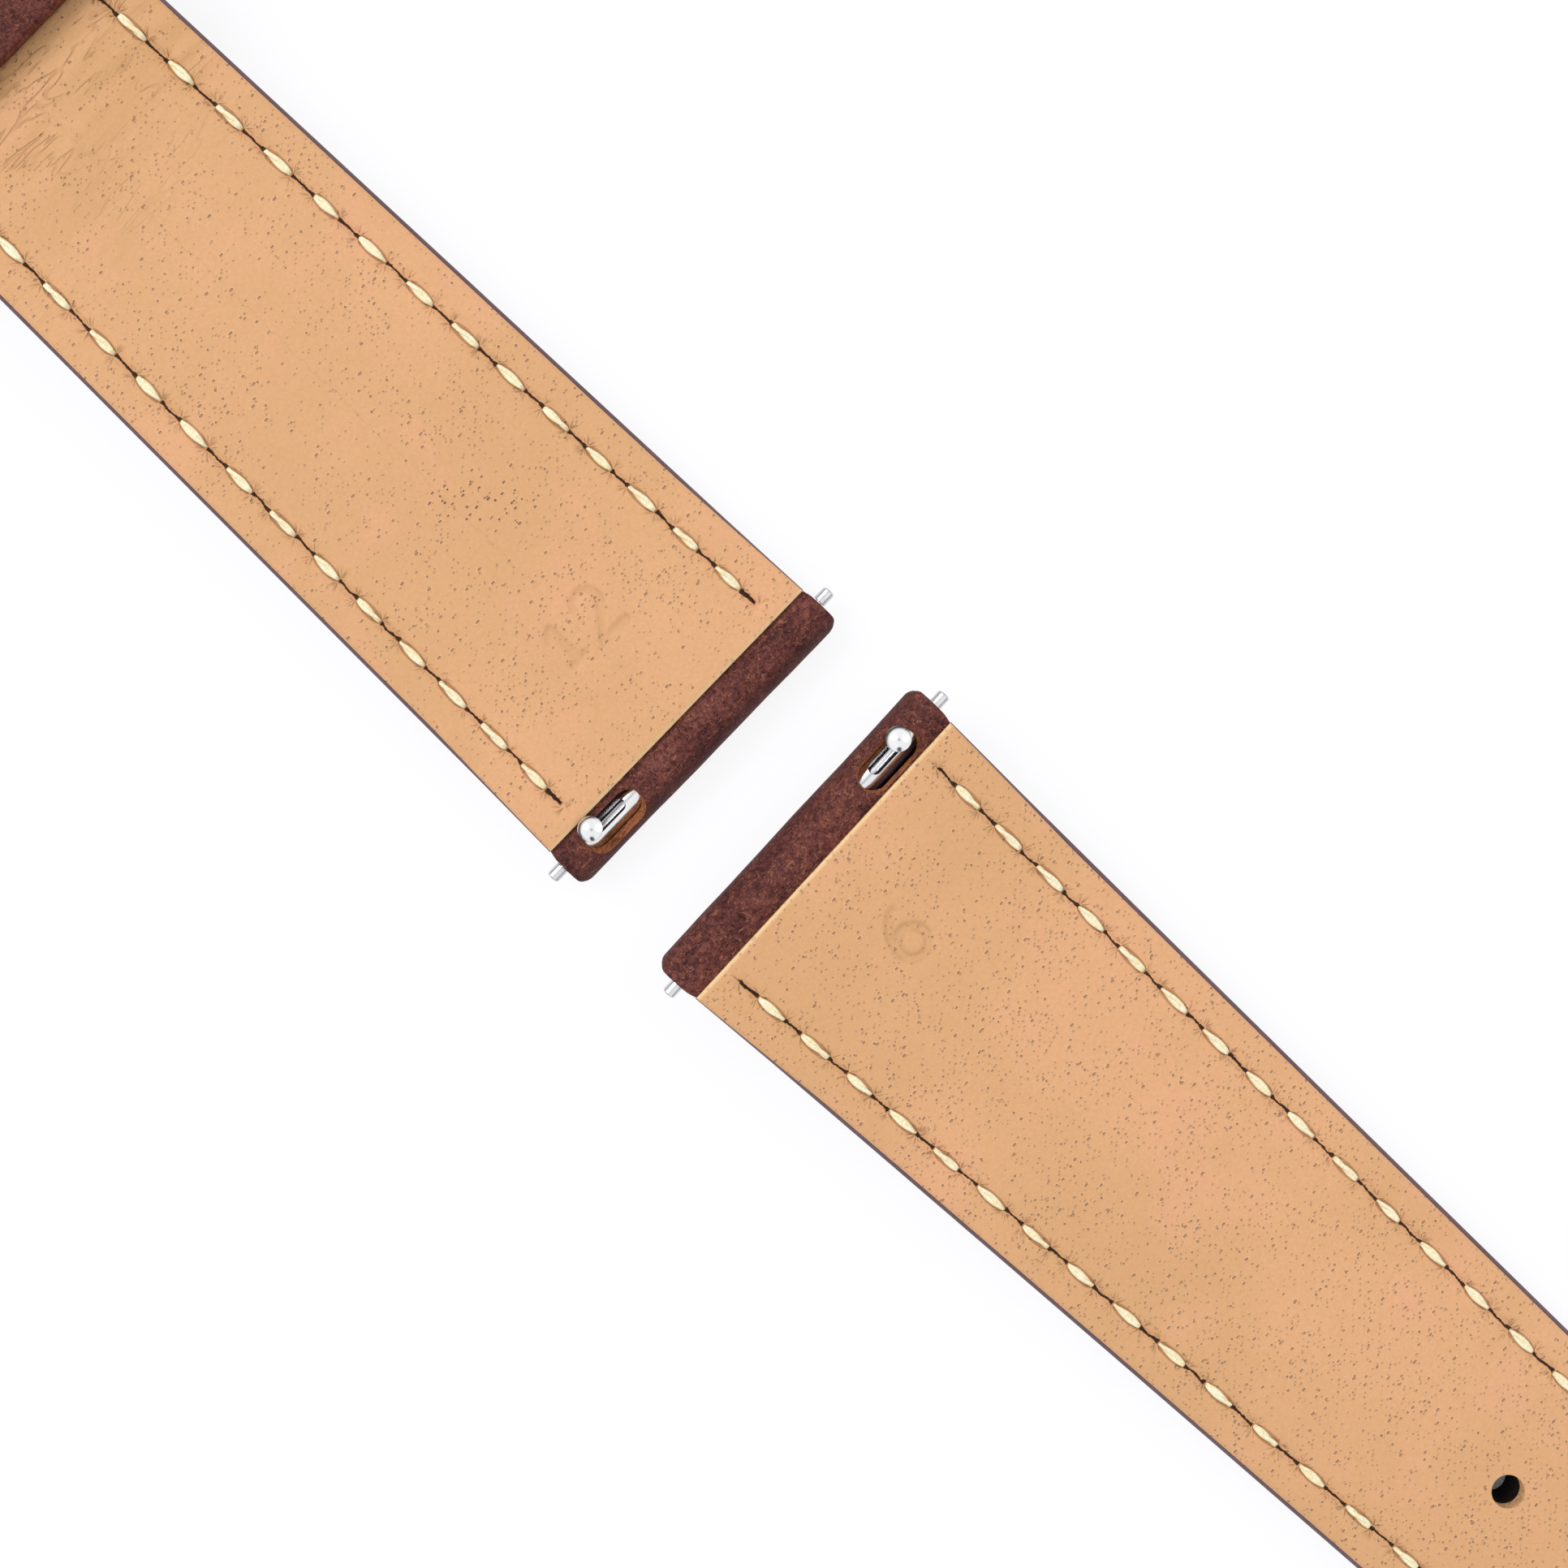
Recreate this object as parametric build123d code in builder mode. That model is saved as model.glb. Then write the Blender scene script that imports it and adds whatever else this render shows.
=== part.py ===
"""Two-piece leather watch strap, lying lining side up with its lug ends facing each other.

The buckle half points to +Y and the hole half to -Y. The table is at z = 0, and the origin is
the middle of the whole strap on the table. Each half is drawn in its own frame: x across the
strap, y along it from its lug end, z up from its face leather. All sizes are in millimetres.
"""
import os
from math import asin, atan, atan2, cos, hypot, radians, sin

from build123d import *

os.makedirs("parts", exist_ok=True)

# Layout on the table
lug_gap = 5.9                      # between the two lug ends
hole_half_turn = 1.3               # degrees that the hole half is turned on the table
hole_half_aside = 0.06             # its lug end lies this far to the right
hole_half_lug_lift = 2.8           # its lug end curls up from the table by this much
hole_half_flat_from = 60.0         # and it lies flat from here on

# Leather, plan of the two halves
buckle_half_lug_width = 21.9
hole_half_lug_width = 22.15
end_width = 18.0
taper_length = 75.0
buckle_bar_along = 79.0            # the buckle bar's axis, from the lug end
hole_half_length = 120.0
tip_length = 11.0                  # the hole half's pointed end
tip_nose_width = 7.0
tip_nose_length = 0.9
lug_corner_radius = 0.5
lining_inset = 0.3                 # the lining and filler are this much narrower on each side

# Leather, layers
upper_thickness = 1.1
lining_thickness = 0.85
lining_edge_thickness = 0.4        # skived where it lies over the turned leather
lug_thickness = 3.6                # whole strap at the lug end of the lining
buckle_end_thickness = 3.0
hole_end_thickness = 2.6
lug_roll_radius = 1.75             # leather turned round the lug bar, outside
buckle_roll_radius = 1.6
lug_lining_start = 2.95            # the lining's edge, from the lug end
lug_flap_length = 9.0              # the turned-under leather, from the lug end
flap_edge_thickness = 0.25
buckle_lining_stop = 3.6           # the lining's edge, back from the buckle bar's axis
buckle_flap_stop = 6.0             # the turned-under leather's edge, back from the same axis

# Quick-release spring bars
running_clearance = 0.05           # between a bar and the leather, a tip and its mouth
bar_tube_radius = 0.9
bar_tube_bore_radius = 0.62
bar_tube_length = 21.2
bar_mouth_length = 0.5             # crimped mouth at each end
bar_length = 24.0                  # tip to tip
bar_tip_radius = 0.4
bar_head_radius = 0.58
bar_head_length = 1.5
bar_head_gap = 0.02                # head to mouth, at rest
bar_stem_radius = 0.25
bar_stem_length = 1.6
bar_tip_land = 0.9                 # each tip's outer end, up to its groove
bar_neck_depth = 0.16              # groove behind it
bar_neck_length = 0.52
tip_chamfer = 0.1

# Release lever
knob_from_tip = 3.9                # the knob's axis, from the end of the lever's tip
knob_radius = 0.76
knob_underside = 2.05              # from the bar's axis
knob_height = 0.55
knob_chamfer = 0.18
knob_dome = 0.3
knob_stud_radius = 0.3
knob_foot_radius = 0.2
knob_foot_depth = 0.25
knob_foot_clearance = 0.01
lever_head_length = 0.9
lever_rod_radius = 0.36
lever_rod_past_knob = 3.5          # the rod runs on towards the bar's middle
lever_collar_length = 0.8
lever_slot_past_knob = 2.5         # slot in the tube, inward from the knob's axis
lever_slot_clearance = 0.1
buckle_half_knob_lean = 12.0       # degrees, towards the lining
hole_half_knob_lean = -12.0
window_outside_knob = 0.85         # cut-out in the leather, outward from the knob's axis
window_inside_knob = 3.35          # and inward from it
window_width = 2.1

# Springs inside the bars
spring_wire_radius = 0.1
spring_coil_radius = 0.43
spring_pitch = 0.62
buckle_spring_wire_radius = 0.1
buckle_spring_coil_radius = 0.43
buckle_spring_pitch = 0.62
spring_seat_gap = 0.03

# Buckle bar
buckle_tube_radius = 0.75
buckle_tube_bore_radius = 0.6
buckle_tube_length = 17.4
buckle_tip_radius = 0.35
buckle_tip_in_ear = 1.15
buckle_head_radius = 0.56
buckle_head_length = 2.0
buckle_stem_radius = 0.2
buckle_stem_length = 1.5

# Buckle frame and tongue
ear_gap = 18.3                     # between the two ears
ear_thickness = 1.9
ear_radius = 1.6
ear_hole_spare = 0.15
frame_reach = 12.9                 # bar's axis to the outside of the far bar
frame_bar_width = 2.4
frame_thickness = 2.2
frame_corner_radius = 3.0
frame_inner_corner_radius = 1.2
frame_edge_round = 0.45
tongue_notch_depth = 0.5           # rest for the tongue, under the far bar
tongue_notch_clearance = 0.1
tongue_overhang = 0.3              # the tongue's centre line reaches past the far bar
tongue_width = 1.8
tongue_thickness = 1.2
tongue_eye_radius = 1.5
tongue_eye_width = 2.8
tongue_edge_round = 0.3
tongue_slot_width = 3.3            # slot in the leather
tongue_slot_depth = 3.2            # back from the buckle bar's axis

# Keepers
keeper_width = 6.0
keeper_thickness = 1.3
keeper_tuck_thickness = 0.5        # the fixed keeper's skived ends, under the lining
keeper_corner_radius = 1.2
keeper_side_clearance = 0.35
keeper_top_clearance = 0.2
keeper_tail_slack = 0.3            # room over the hole half's thickness
keeper_tuck_clearance = 0.03
keeper_seam_width = 0.12           # where the free keeper's ends meet
keeper_stitch_spread = 2.6         # between the two stitches that join them
keeper_stitch_length = 2.4
free_keeper_along = 56.5
fixed_keeper_along = 63.5

# Adjusting holes
hole_radius = 1.05
first_hole_along = 58.65
hole_spacing = 7.0
hole_count = 7

# Stitching
stitch_pitch = 3.55
stitch_length = 2.05               # seen on the lining
row_inset = 2.45                   # from the strap's edge
row_start = 5.3                    # first stitch, from the lug end
buckle_row_stop = 5.6              # last stitch, back from the buckle bar's axis
thread_width = 0.5
thread_leg_width = 0.38            # where it passes through the layers
thread_thickness = 0.3
thread_gap = 0.06                  # round the thread in its slits
thread_sunk = 0.25                 # depth of the pockets under the stitches

overrun = 1.0                      # cuts run past what they cut

# Radii of the round spaces that the bars turn in
lug_tunnel_radius = bar_tube_radius + running_clearance
buckle_tunnel_radius = buckle_tube_radius + running_clearance

tongue_length = frame_reach + tongue_overhang

# The keepers hold the face this far off the table, which tilts the buckle half
keeper_gap = hole_end_thickness + keeper_tail_slack
keeper_depth = keeper_gap + keeper_thickness
stand_length = free_keeper_along - lug_roll_radius
stand_height = lug_roll_radius + keeper_depth
half_tilt = atan2(stand_height, stand_length) - asin(
    lug_roll_radius / hypot(stand_length, stand_height)
)
half_drop = lug_roll_radius * (1 - sin(half_tilt) - cos(half_tilt))

# The buckle hangs from its bar until the tongue's point meets the table
buckle_bar_height = (
    half_drop + buckle_bar_along * sin(half_tilt) + buckle_roll_radius * cos(half_tilt)
)
tongue_drop = (
    frame_thickness / 2 - tongue_notch_depth + tongue_notch_clearance + tongue_thickness / 2
)
tongue_angle = atan(tongue_drop / (frame_reach - frame_bar_width))
tongue_droop = asin((buckle_bar_height - tongue_thickness / 2) / (tongue_length + overrun))
frame_droop = tongue_droop - tongue_angle

# The origin lies midway between the buckle's far edge and the hole half's point
buckle_reach = (
    buckle_bar_along * cos(half_tilt)
    - buckle_roll_radius * sin(half_tilt)
    + frame_reach * cos(frame_droop)
    + frame_thickness / 2 * sin(frame_droop)
)
hole_reach = hole_half_length * cos(radians(hole_half_turn))
middle_shift = (hole_reach - buckle_reach) / 2


class Half:
    """One half of the strap: its frame, its plan, its thickness and its curl."""

    def __init__(self, name, frame, lug_width, length, end_thickness, lean, lift=0, flat_from=0):
        self.name = name
        self.frame = frame
        self.lug_width = lug_width
        self.length = length
        self.end_thickness = end_thickness
        self.lean = lean
        self.lift = lift
        self.flat_from = flat_from
        self.curl_radius = flat_from**2 / (2 * lift) if lift else 0

    def width(self, along):
        taper_share = min(along / taper_length, 1)
        return self.lug_width + (end_width - self.lug_width) * taper_share

    def top(self, along):
        """Height of the lining's upper side over the face."""
        length_share = (along - lug_lining_start) / (self.length - lug_lining_start)
        return lug_thickness + (self.end_thickness - lug_thickness) * length_share

    def lining_bottom(self, along):
        return self.top(along) - lining_thickness

    def curl(self, along):
        """Angle by which the strap falls away from its lug end here."""
        if self.lift and along < self.flat_from:
            return (self.flat_from - along) / self.curl_radius
        return 0

    def bent(self, along, height):
        """Side-view place of a point, once the lug end has curled up."""
        angle = self.curl(along)
        if not angle:
            return along, height
        return (
            self.flat_from - (self.curl_radius - height) * sin(angle),
            self.curl_radius - (self.curl_radius - height) * cos(angle),
        )

    def place(self, across, along, height):
        """A point of the part, from its place in the half."""
        bent_along, bent_height = self.bent(along, height)
        return self.frame.from_local_coords(Vector(across, bent_along, bent_height))

    def upward(self, along):
        angle = self.curl(along)
        return self.frame.y_dir * sin(angle) + self.frame.z_dir * cos(angle)

    def onward(self, along):
        angle = self.curl(along)
        return self.frame.y_dir * cos(angle) - self.frame.z_dir * sin(angle)

    def side_plane(self):
        """x along the strap and y up."""
        return Plane(origin=self.frame.origin, x_dir=self.frame.y_dir, z_dir=self.frame.x_dir)

    def cross_plane(self, along):
        """x across the strap and y up, facing away from the lug end."""
        return Plane(
            origin=self.place(0, along, 0), x_dir=-self.frame.x_dir, z_dir=self.frame.y_dir
        )


buckle_half = Half(
    "buckle_half",
    Plane(
        origin=(0, middle_shift + lug_gap / 2, half_drop),
        x_dir=(1, 0, 0),
        z_dir=(0, -sin(half_tilt), cos(half_tilt)),
    ),
    buckle_half_lug_width,
    buckle_bar_along,
    buckle_end_thickness,
    buckle_half_knob_lean,
)
hole_half = Half(
    "hole_half",
    Plane(
        origin=(hole_half_aside, middle_shift - lug_gap / 2, 0),
        x_dir=(-cos(radians(hole_half_turn)), -sin(radians(hole_half_turn)), 0),
        z_dir=(0, 0, 1),
    ),
    hole_half_lug_width,
    hole_half_length,
    hole_end_thickness,
    hole_half_knob_lean,
    hole_half_lug_lift,
    hole_half_flat_from,
)


def on_line(start, end, along):
    """Height of the line from start to end at a place along the strap."""
    line_share = (along - start[0]) / (end[0] - start[0])
    return start[1] + (end[1] - start[1]) * line_share


def side_line(half, points):
    """Joins side-view points, along and height, by runs that follow the half's curl."""
    for start, end in zip(points, points[1:]):
        stops = [start, end]
        if half.lift and min(start[0], end[0]) < half.flat_from < max(start[0], end[0]):
            stops.insert(1, (half.flat_from, on_line(start, end, half.flat_from)))
        for first, last in zip(stops, stops[1:]):
            middle = ((first[0] + last[0]) / 2, (first[1] + last[1]) / 2)
            if first[0] != last[0] and half.curl(middle[0]):
                ThreePointArc(half.bent(*first), half.bent(*middle), half.bent(*last))
            else:
                Line(half.bent(*first), half.bent(*last))


def side_round(half, centre, radius, way):
    """Half circle round a bar, from below it to above it, on the side that way gives."""
    along, height = centre
    ThreePointArc(
        half.bent(along, height - radius),
        half.bent(along + way * radius, height),
        half.bent(along, height + radius),
    )


def plan_line(half, inset):
    """Plan outline of a half, from its right lug corner round the far end to the left one."""
    lug = (half.lug_width / 2 - inset, -overrun)
    taper = (end_width / 2 - inset, taper_length)
    if half is buckle_half:
        far = (end_width / 2 - inset, half.length + buckle_roll_radius + overrun)
        Polyline(lug, taper, far, (-far[0], far[1]), (-taper[0], taper[1]), (-lug[0], lug[1]))
        return
    side = (end_width / 2 - inset, half.length - tip_length)
    nose = (tip_nose_width / 2 - inset / 2, half.length - tip_nose_length - inset)
    Polyline(lug, taper, side)
    TangentArc(side, nose, tangent=(0, 1))
    ThreePointArc(nose, (0, half.length - inset), (-nose[0], nose[1]))
    TangentArc((-side[0], side[1]), (-nose[0], nose[1]), tangent=(0, 1))
    Polyline((-side[0], side[1]), (-taper[0], taper[1]), (-lug[0], lug[1]))


def plan_block(half, inset):
    """Upright block with a half's plan outline."""
    with BuildPart() as block:
        with BuildSketch(half.frame):
            with BuildLine():
                plan_line(half, inset)
                Line(
                    (-half.lug_width / 2 + inset, -overrun),
                    (half.lug_width / 2 - inset, -overrun),
                )
            make_face()
        extrude(amount=2 * (lug_thickness + half.lift), both=True)
    return block.part


def lug_corner_block(half, side):
    """What rounding takes off one corner of the lug end."""
    lug_edge = half.bent(lug_roll_radius, lug_roll_radius)[0] - lug_roll_radius
    corner = (side * half.width(lug_corner_radius) / 2, lug_edge)
    outside = corner[0] + side * overrun
    middle = (corner[0] - side * lug_corner_radius, lug_edge + lug_corner_radius)
    on_arc = (
        middle[0] + side * lug_corner_radius * cos(radians(45)),
        middle[1] - lug_corner_radius * sin(radians(45)),
    )
    with BuildPart() as block:
        with BuildSketch(half.frame):
            with BuildLine():
                Line((outside, middle[1]), (corner[0], middle[1]))
                ThreePointArc((corner[0], middle[1]), on_arc, (middle[0], lug_edge))
                Polyline(
                    (middle[0], lug_edge),
                    (middle[0], lug_edge - overrun),
                    (outside, lug_edge - overrun),
                    (outside, middle[1]),
                )
            make_face()
        extrude(amount=2 * (lug_thickness + half.lift), both=True)
    return block.part


# Side-view points that the layers share
roll_centre = (lug_roll_radius, lug_roll_radius)
buckle_roll_centre = (buckle_bar_along, buckle_roll_radius)
lug_lining_edge = (lug_lining_start, lug_thickness - lining_edge_thickness)


def flap_end(half):
    """Upper and lower corner of the turned-under leather's skived edge."""
    height = half.lining_bottom(lug_flap_length)
    return (lug_flap_length, height), (lug_flap_length, height - flap_edge_thickness)


def buckle_flap_end():
    along = buckle_bar_along - buckle_flap_stop
    height = buckle_half.lining_bottom(along)
    return (along, height), (along, height - flap_edge_thickness)


def buckle_lining_edge():
    along = buckle_bar_along - buckle_lining_stop
    return along, buckle_half.top(along) - lining_edge_thickness


def window_block(half):
    """Cut-out over the bar that the release lever's knob slides in."""
    bar = bar_plane(half)
    length = window_outside_knob + window_inside_knob
    place = knob_place() + window_outside_knob - length / 2
    upward = half.upward(lug_roll_radius)
    with BuildPart() as block:
        with BuildSketch(Plane(origin=bar.origin, x_dir=bar.x_dir, z_dir=upward)):
            with Locations((place, 0)):
                SlotOverall(length, window_width)
        extrude(amount=lug_roll_radius + overrun)
    return block.part


def adjusting_hole_pins():
    """Round pins where the hole half is punched."""
    with BuildPart() as pins:
        with BuildSketch(hole_half.frame):
            with Locations(*[(0, first_hole_along + i * hole_spacing) for i in range(hole_count)]):
                Circle(hole_radius)
        extrude(amount=lug_thickness + overrun, both=True)
    return pins.part


def tongue_slot_block():
    """Gap in the buckle end that the tongue swings in."""
    middle = buckle_bar_along - tongue_slot_depth + tongue_slot_width / 2
    end = buckle_bar_along + buckle_roll_radius + overrun
    with BuildPart() as block:
        with BuildSketch(buckle_half.frame):
            with Locations((0, middle)):
                Circle(tongue_slot_width / 2)
            with Locations((0, (middle + end) / 2)):
                Rectangle(tongue_slot_width, end - middle)
        extrude(amount=2 * buckle_roll_radius + overrun, both=True)
    return block.part


def keeper_tuck_block():
    """Recess for the fixed keeper's skived ends."""
    low = fixed_keeper_tuck_top - keeper_tuck_thickness - keeper_tuck_clearance
    start = fixed_keeper_along - keeper_tuck_clearance
    with BuildPart() as block:
        with BuildSketch(buckle_half.cross_plane(start)):
            with Locations((0, low + lug_thickness / 2)):
                Rectangle(2 * buckle_half.lug_width, lug_thickness)
        extrude(amount=keeper_width + 2 * keeper_tuck_clearance)
    return block.part


# The spring bars


def knob_place():
    """The knob's axis, from the middle of its bar."""
    return bar_length / 2 - knob_from_tip


def bar_plane(half):
    """At the middle of the lug bar: x to the lever's end, y where the knob points."""
    upward = half.upward(lug_roll_radius)
    onward = half.onward(lug_roll_radius)
    lean = radians(half.lean)
    knob_way = upward * cos(lean) + onward * sin(lean)
    lever_way = -half.frame.x_dir
    return Plane(
        origin=half.place(0, *roll_centre), x_dir=lever_way, z_dir=lever_way.cross(knob_way)
    )


def buckle_bar_plane():
    """At the middle of the buckle bar: x across the strap, y up from the strap."""
    frame = buckle_half.frame
    return Plane(
        origin=buckle_half.place(0, *buckle_roll_centre), x_dir=frame.x_dir, z_dir=-frame.y_dir
    )


def turned_end(plane):
    """The same bar seen from its other end."""
    return Plane(origin=plane.origin, x_dir=-plane.x_dir, z_dir=-plane.z_dir)


def turned(plane, points):
    """A solid of revolution round a bar's axis, from places along it and radii."""
    with BuildPart() as solid:
        with BuildSketch(plane):
            with BuildLine():
                Polyline(*points, close=True)
            make_face()
        revolve(axis=Axis(plane.origin, plane.x_dir))
    return solid.part


def tube_points(length, radius, bore, mouth):
    """Side view of a thin tube with a crimped mouth at each end."""
    end = length / 2
    inner = end - bar_mouth_length
    return [
        (end, radius),
        (end, mouth),
        (inner, mouth),
        (inner, bore),
        (-inner, bore),
        (-inner, mouth),
        (-end, mouth),
        (-end, radius),
    ]


def plunger_points(end, tip, head_start, head, head_length, stem, stem_length):
    """Side view of a plunger, from its tip inwards."""
    head_end = head_start - head_length
    return [
        (end, 0),
        (end, tip - tip_chamfer),
        (end - tip_chamfer, tip),
        (head_start, tip),
        (head_start, head),
        (head_end, head),
        (head_end, stem),
        (head_end - stem_length, stem),
        (head_end - stem_length, 0),
    ]


def neck_ring(plane):
    """Ring of metal that a tip's groove takes away."""
    start = bar_length / 2 - bar_tip_land
    return turned(
        plane,
        [
            (start, bar_tip_radius - bar_neck_depth),
            (start, bar_tip_radius + bar_neck_depth),
            (start - bar_neck_length, bar_tip_radius + bar_neck_depth),
            (start - bar_neck_length, bar_tip_radius - bar_neck_depth),
        ],
    )


def make_spring(plane, start, end, coil_radius, wire_radius, pitch):
    """Open coil round the bar's axis, between two places along it."""
    first = start + spring_seat_gap + wire_radius
    last = end - spring_seat_gap - wire_radius
    seat = plane.origin + plane.x_dir * first
    with BuildPart() as spring:
        with BuildLine() as coil:
            Helix(pitch, last - first, coil_radius, center=seat, direction=plane.x_dir)
        with BuildSketch(Plane(origin=coil.line @ 0, z_dir=coil.line % 0)):
            Circle(wire_radius)
        sweep(path=coil.line, is_frenet=True)
    return spring


lever_head_start = bar_tube_length / 2 - bar_mouth_length - bar_head_gap
lever_rod_end = knob_place() - lever_rod_past_knob
lever_collar_end = lever_rod_end - lever_collar_length


def make_lug_bar_tube(half):
    plane = bar_plane(half)
    mouth = bar_tip_radius + running_clearance
    points = tube_points(bar_tube_length, bar_tube_radius, bar_tube_bore_radius, mouth)
    slot_end = knob_place() - lever_slot_past_knob
    slot_width = 2 * (knob_stud_radius + lever_slot_clearance)
    slot_start = knob_place() + slot_width / 2
    with BuildPart() as tube:
        add(turned(plane, points))
        with BuildSketch(Plane(origin=plane.origin, x_dir=plane.x_dir, z_dir=plane.y_dir)):
            with Locations(((slot_start + slot_end) / 2, 0)):
                SlotOverall(slot_start - slot_end, slot_width)
        extrude(amount=bar_tube_radius + overrun, mode=Mode.SUBTRACT)
    return tube


def make_plain_plunger(half):
    plane = turned_end(bar_plane(half))
    points = plunger_points(
        bar_length / 2,
        bar_tip_radius,
        lever_head_start,
        bar_head_radius,
        bar_head_length,
        bar_stem_radius,
        bar_stem_length,
    )
    with BuildPart() as plunger:
        add(turned(plane, points))
        add(neck_ring(plane), mode=Mode.SUBTRACT)
    return plunger


def make_lever_plunger(half):
    """Plunger whose rod carries the release knob."""
    plane = bar_plane(half)
    end = bar_length / 2
    head_end = lever_head_start - lever_head_length
    stem_end = lever_collar_end - bar_stem_length
    points = [
        (end, 0),
        (end, bar_tip_radius - tip_chamfer),
        (end - tip_chamfer, bar_tip_radius),
        (lever_head_start, bar_tip_radius),
        (lever_head_start, bar_head_radius),
        (head_end, bar_head_radius),
        (head_end, lever_rod_radius),
        (lever_rod_end, lever_rod_radius),
        (lever_rod_end, bar_head_radius),
        (lever_collar_end, bar_head_radius),
        (lever_collar_end, bar_stem_radius),
        (stem_end, bar_stem_radius),
        (stem_end, 0),
    ]
    knob_plane = Plane(origin=plane.origin, x_dir=plane.x_dir, z_dir=plane.y_dir)
    with BuildPart() as plunger:
        add(turned(plane, points))
        add(neck_ring(plane), mode=Mode.SUBTRACT)
        with BuildSketch(knob_plane.offset(lever_rod_radius - knob_foot_depth)):
            with Locations((knob_place(), 0)):
                Circle(knob_foot_radius + knob_foot_clearance)
        extrude(amount=lever_rod_radius, mode=Mode.SUBTRACT)
    return plunger


def make_release_knob(half):
    """Stud and button that the wearer pulls the lever by."""
    bar = bar_plane(half)
    plane = Plane(
        origin=bar.origin + bar.x_dir * knob_place(), x_dir=bar.x_dir, z_dir=bar.z_dir
    )
    foot = lever_rod_radius - knob_foot_depth + knob_foot_clearance
    top = knob_underside + knob_height
    with BuildPart() as knob:
        with BuildSketch(plane):
            with BuildLine():
                Polyline(
                    (0, top),
                    (0, foot),
                    (knob_foot_radius, foot),
                    (knob_foot_radius, lever_rod_radius),
                    (knob_stud_radius, lever_rod_radius),
                    (knob_stud_radius, knob_underside),
                    (knob_radius - knob_chamfer, knob_underside),
                    (knob_radius, knob_underside + knob_chamfer),
                    (knob_radius, top - knob_dome),
                )
                TangentArc((0, top), (knob_radius, top - knob_dome), tangent=(1, 0))
            make_face()
        revolve(axis=Axis(plane.origin, plane.y_dir))
    return knob


def make_lug_bar_spring(half):
    plane = bar_plane(half)
    plain_head_end = -(lever_head_start - bar_head_length)
    return make_spring(
        plane,
        plain_head_end,
        lever_collar_end,
        spring_coil_radius,
        spring_wire_radius,
        spring_pitch,
    )


buckle_head_start = buckle_tube_length / 2 - bar_mouth_length - bar_head_gap
buckle_bar_end = ear_gap / 2 + buckle_tip_in_ear


def make_buckle_tube():
    mouth = buckle_tip_radius + running_clearance
    points = tube_points(
        buckle_tube_length, buckle_tube_radius, buckle_tube_bore_radius, mouth
    )
    with BuildPart() as tube:
        add(turned(buckle_bar_plane(), points))
    return tube


def make_buckle_plunger(plane):
    points = plunger_points(
        buckle_bar_end,
        buckle_tip_radius,
        buckle_head_start,
        buckle_head_radius,
        buckle_head_length,
        buckle_stem_radius,
        buckle_stem_length,
    )
    with BuildPart() as plunger:
        add(turned(plane, points))
    return plunger


def make_buckle_spring():
    reach = buckle_head_start - buckle_head_length
    return make_spring(
        buckle_bar_plane(),
        -reach,
        reach,
        buckle_spring_coil_radius,
        buckle_spring_wire_radius,
        buckle_spring_pitch,
    )


# The buckle


def hanging_plane(droop):
    """At the buckle bar: x across, y along a part that hangs down by this angle, z up."""
    return Plane(
        origin=buckle_bar_plane().origin, x_dir=(1, 0, 0), z_dir=(0, sin(droop), cos(droop))
    )


def make_buckle_frame():
    """Pin buckle's frame, with an ear at each end of its bar."""
    plane = hanging_plane(frame_droop)
    width = ear_gap + 2 * ear_thickness
    opening_end = frame_reach - frame_bar_width
    ear_plane = Plane(origin=plane.origin, x_dir=plane.y_dir, z_dir=plane.x_dir)
    with BuildPart() as frame:
        with BuildSketch(plane):
            with BuildLine():
                FilletPolyline(
                    (width / 2, 0),
                    (width / 2, frame_reach),
                    (-width / 2, frame_reach),
                    (-width / 2, 0),
                    radius=frame_corner_radius,
                )
                Line((-width / 2, 0), (-ear_gap / 2, 0))
                FilletPolyline(
                    (-ear_gap / 2, 0),
                    (-ear_gap / 2, opening_end),
                    (ear_gap / 2, opening_end),
                    (ear_gap / 2, 0),
                    radius=frame_inner_corner_radius,
                )
                Line((ear_gap / 2, 0), (width / 2, 0))
            make_face()
        extrude(amount=frame_thickness / 2, both=True)
        for side in (1, -1):
            place = side * (ear_gap + ear_thickness) / 2
            with BuildSketch(ear_plane.offset(place)):
                Circle(ear_radius)
            extrude(amount=ear_thickness / 2, both=True)
        for side in (1, -1):
            depth = buckle_tip_in_ear + ear_hole_spare
            with BuildSketch(ear_plane.offset(side * (ear_gap / 2 + depth / 2))):
                Circle(buckle_tip_radius + running_clearance)
            extrude(amount=depth / 2, both=True, mode=Mode.SUBTRACT)
        outer = frame.edges().filter_by_position(
            Axis(plane.origin, plane.y_dir), ear_radius, frame_reach + overrun
        )
        fillet(
            outer.filter_by(lambda edge: not edge.is_interior and edge.length > frame_bar_width),
            frame_edge_round,
        )
        notch = frame_reach - frame_bar_width / 2
        with BuildSketch(ear_plane):
            with Locations((notch, -frame_thickness / 2)):
                Rectangle(2 * frame_bar_width, 2 * tongue_notch_depth)
        extrude(amount=tongue_width / 2 + tongue_notch_clearance, both=True, mode=Mode.SUBTRACT)
    return frame


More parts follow.
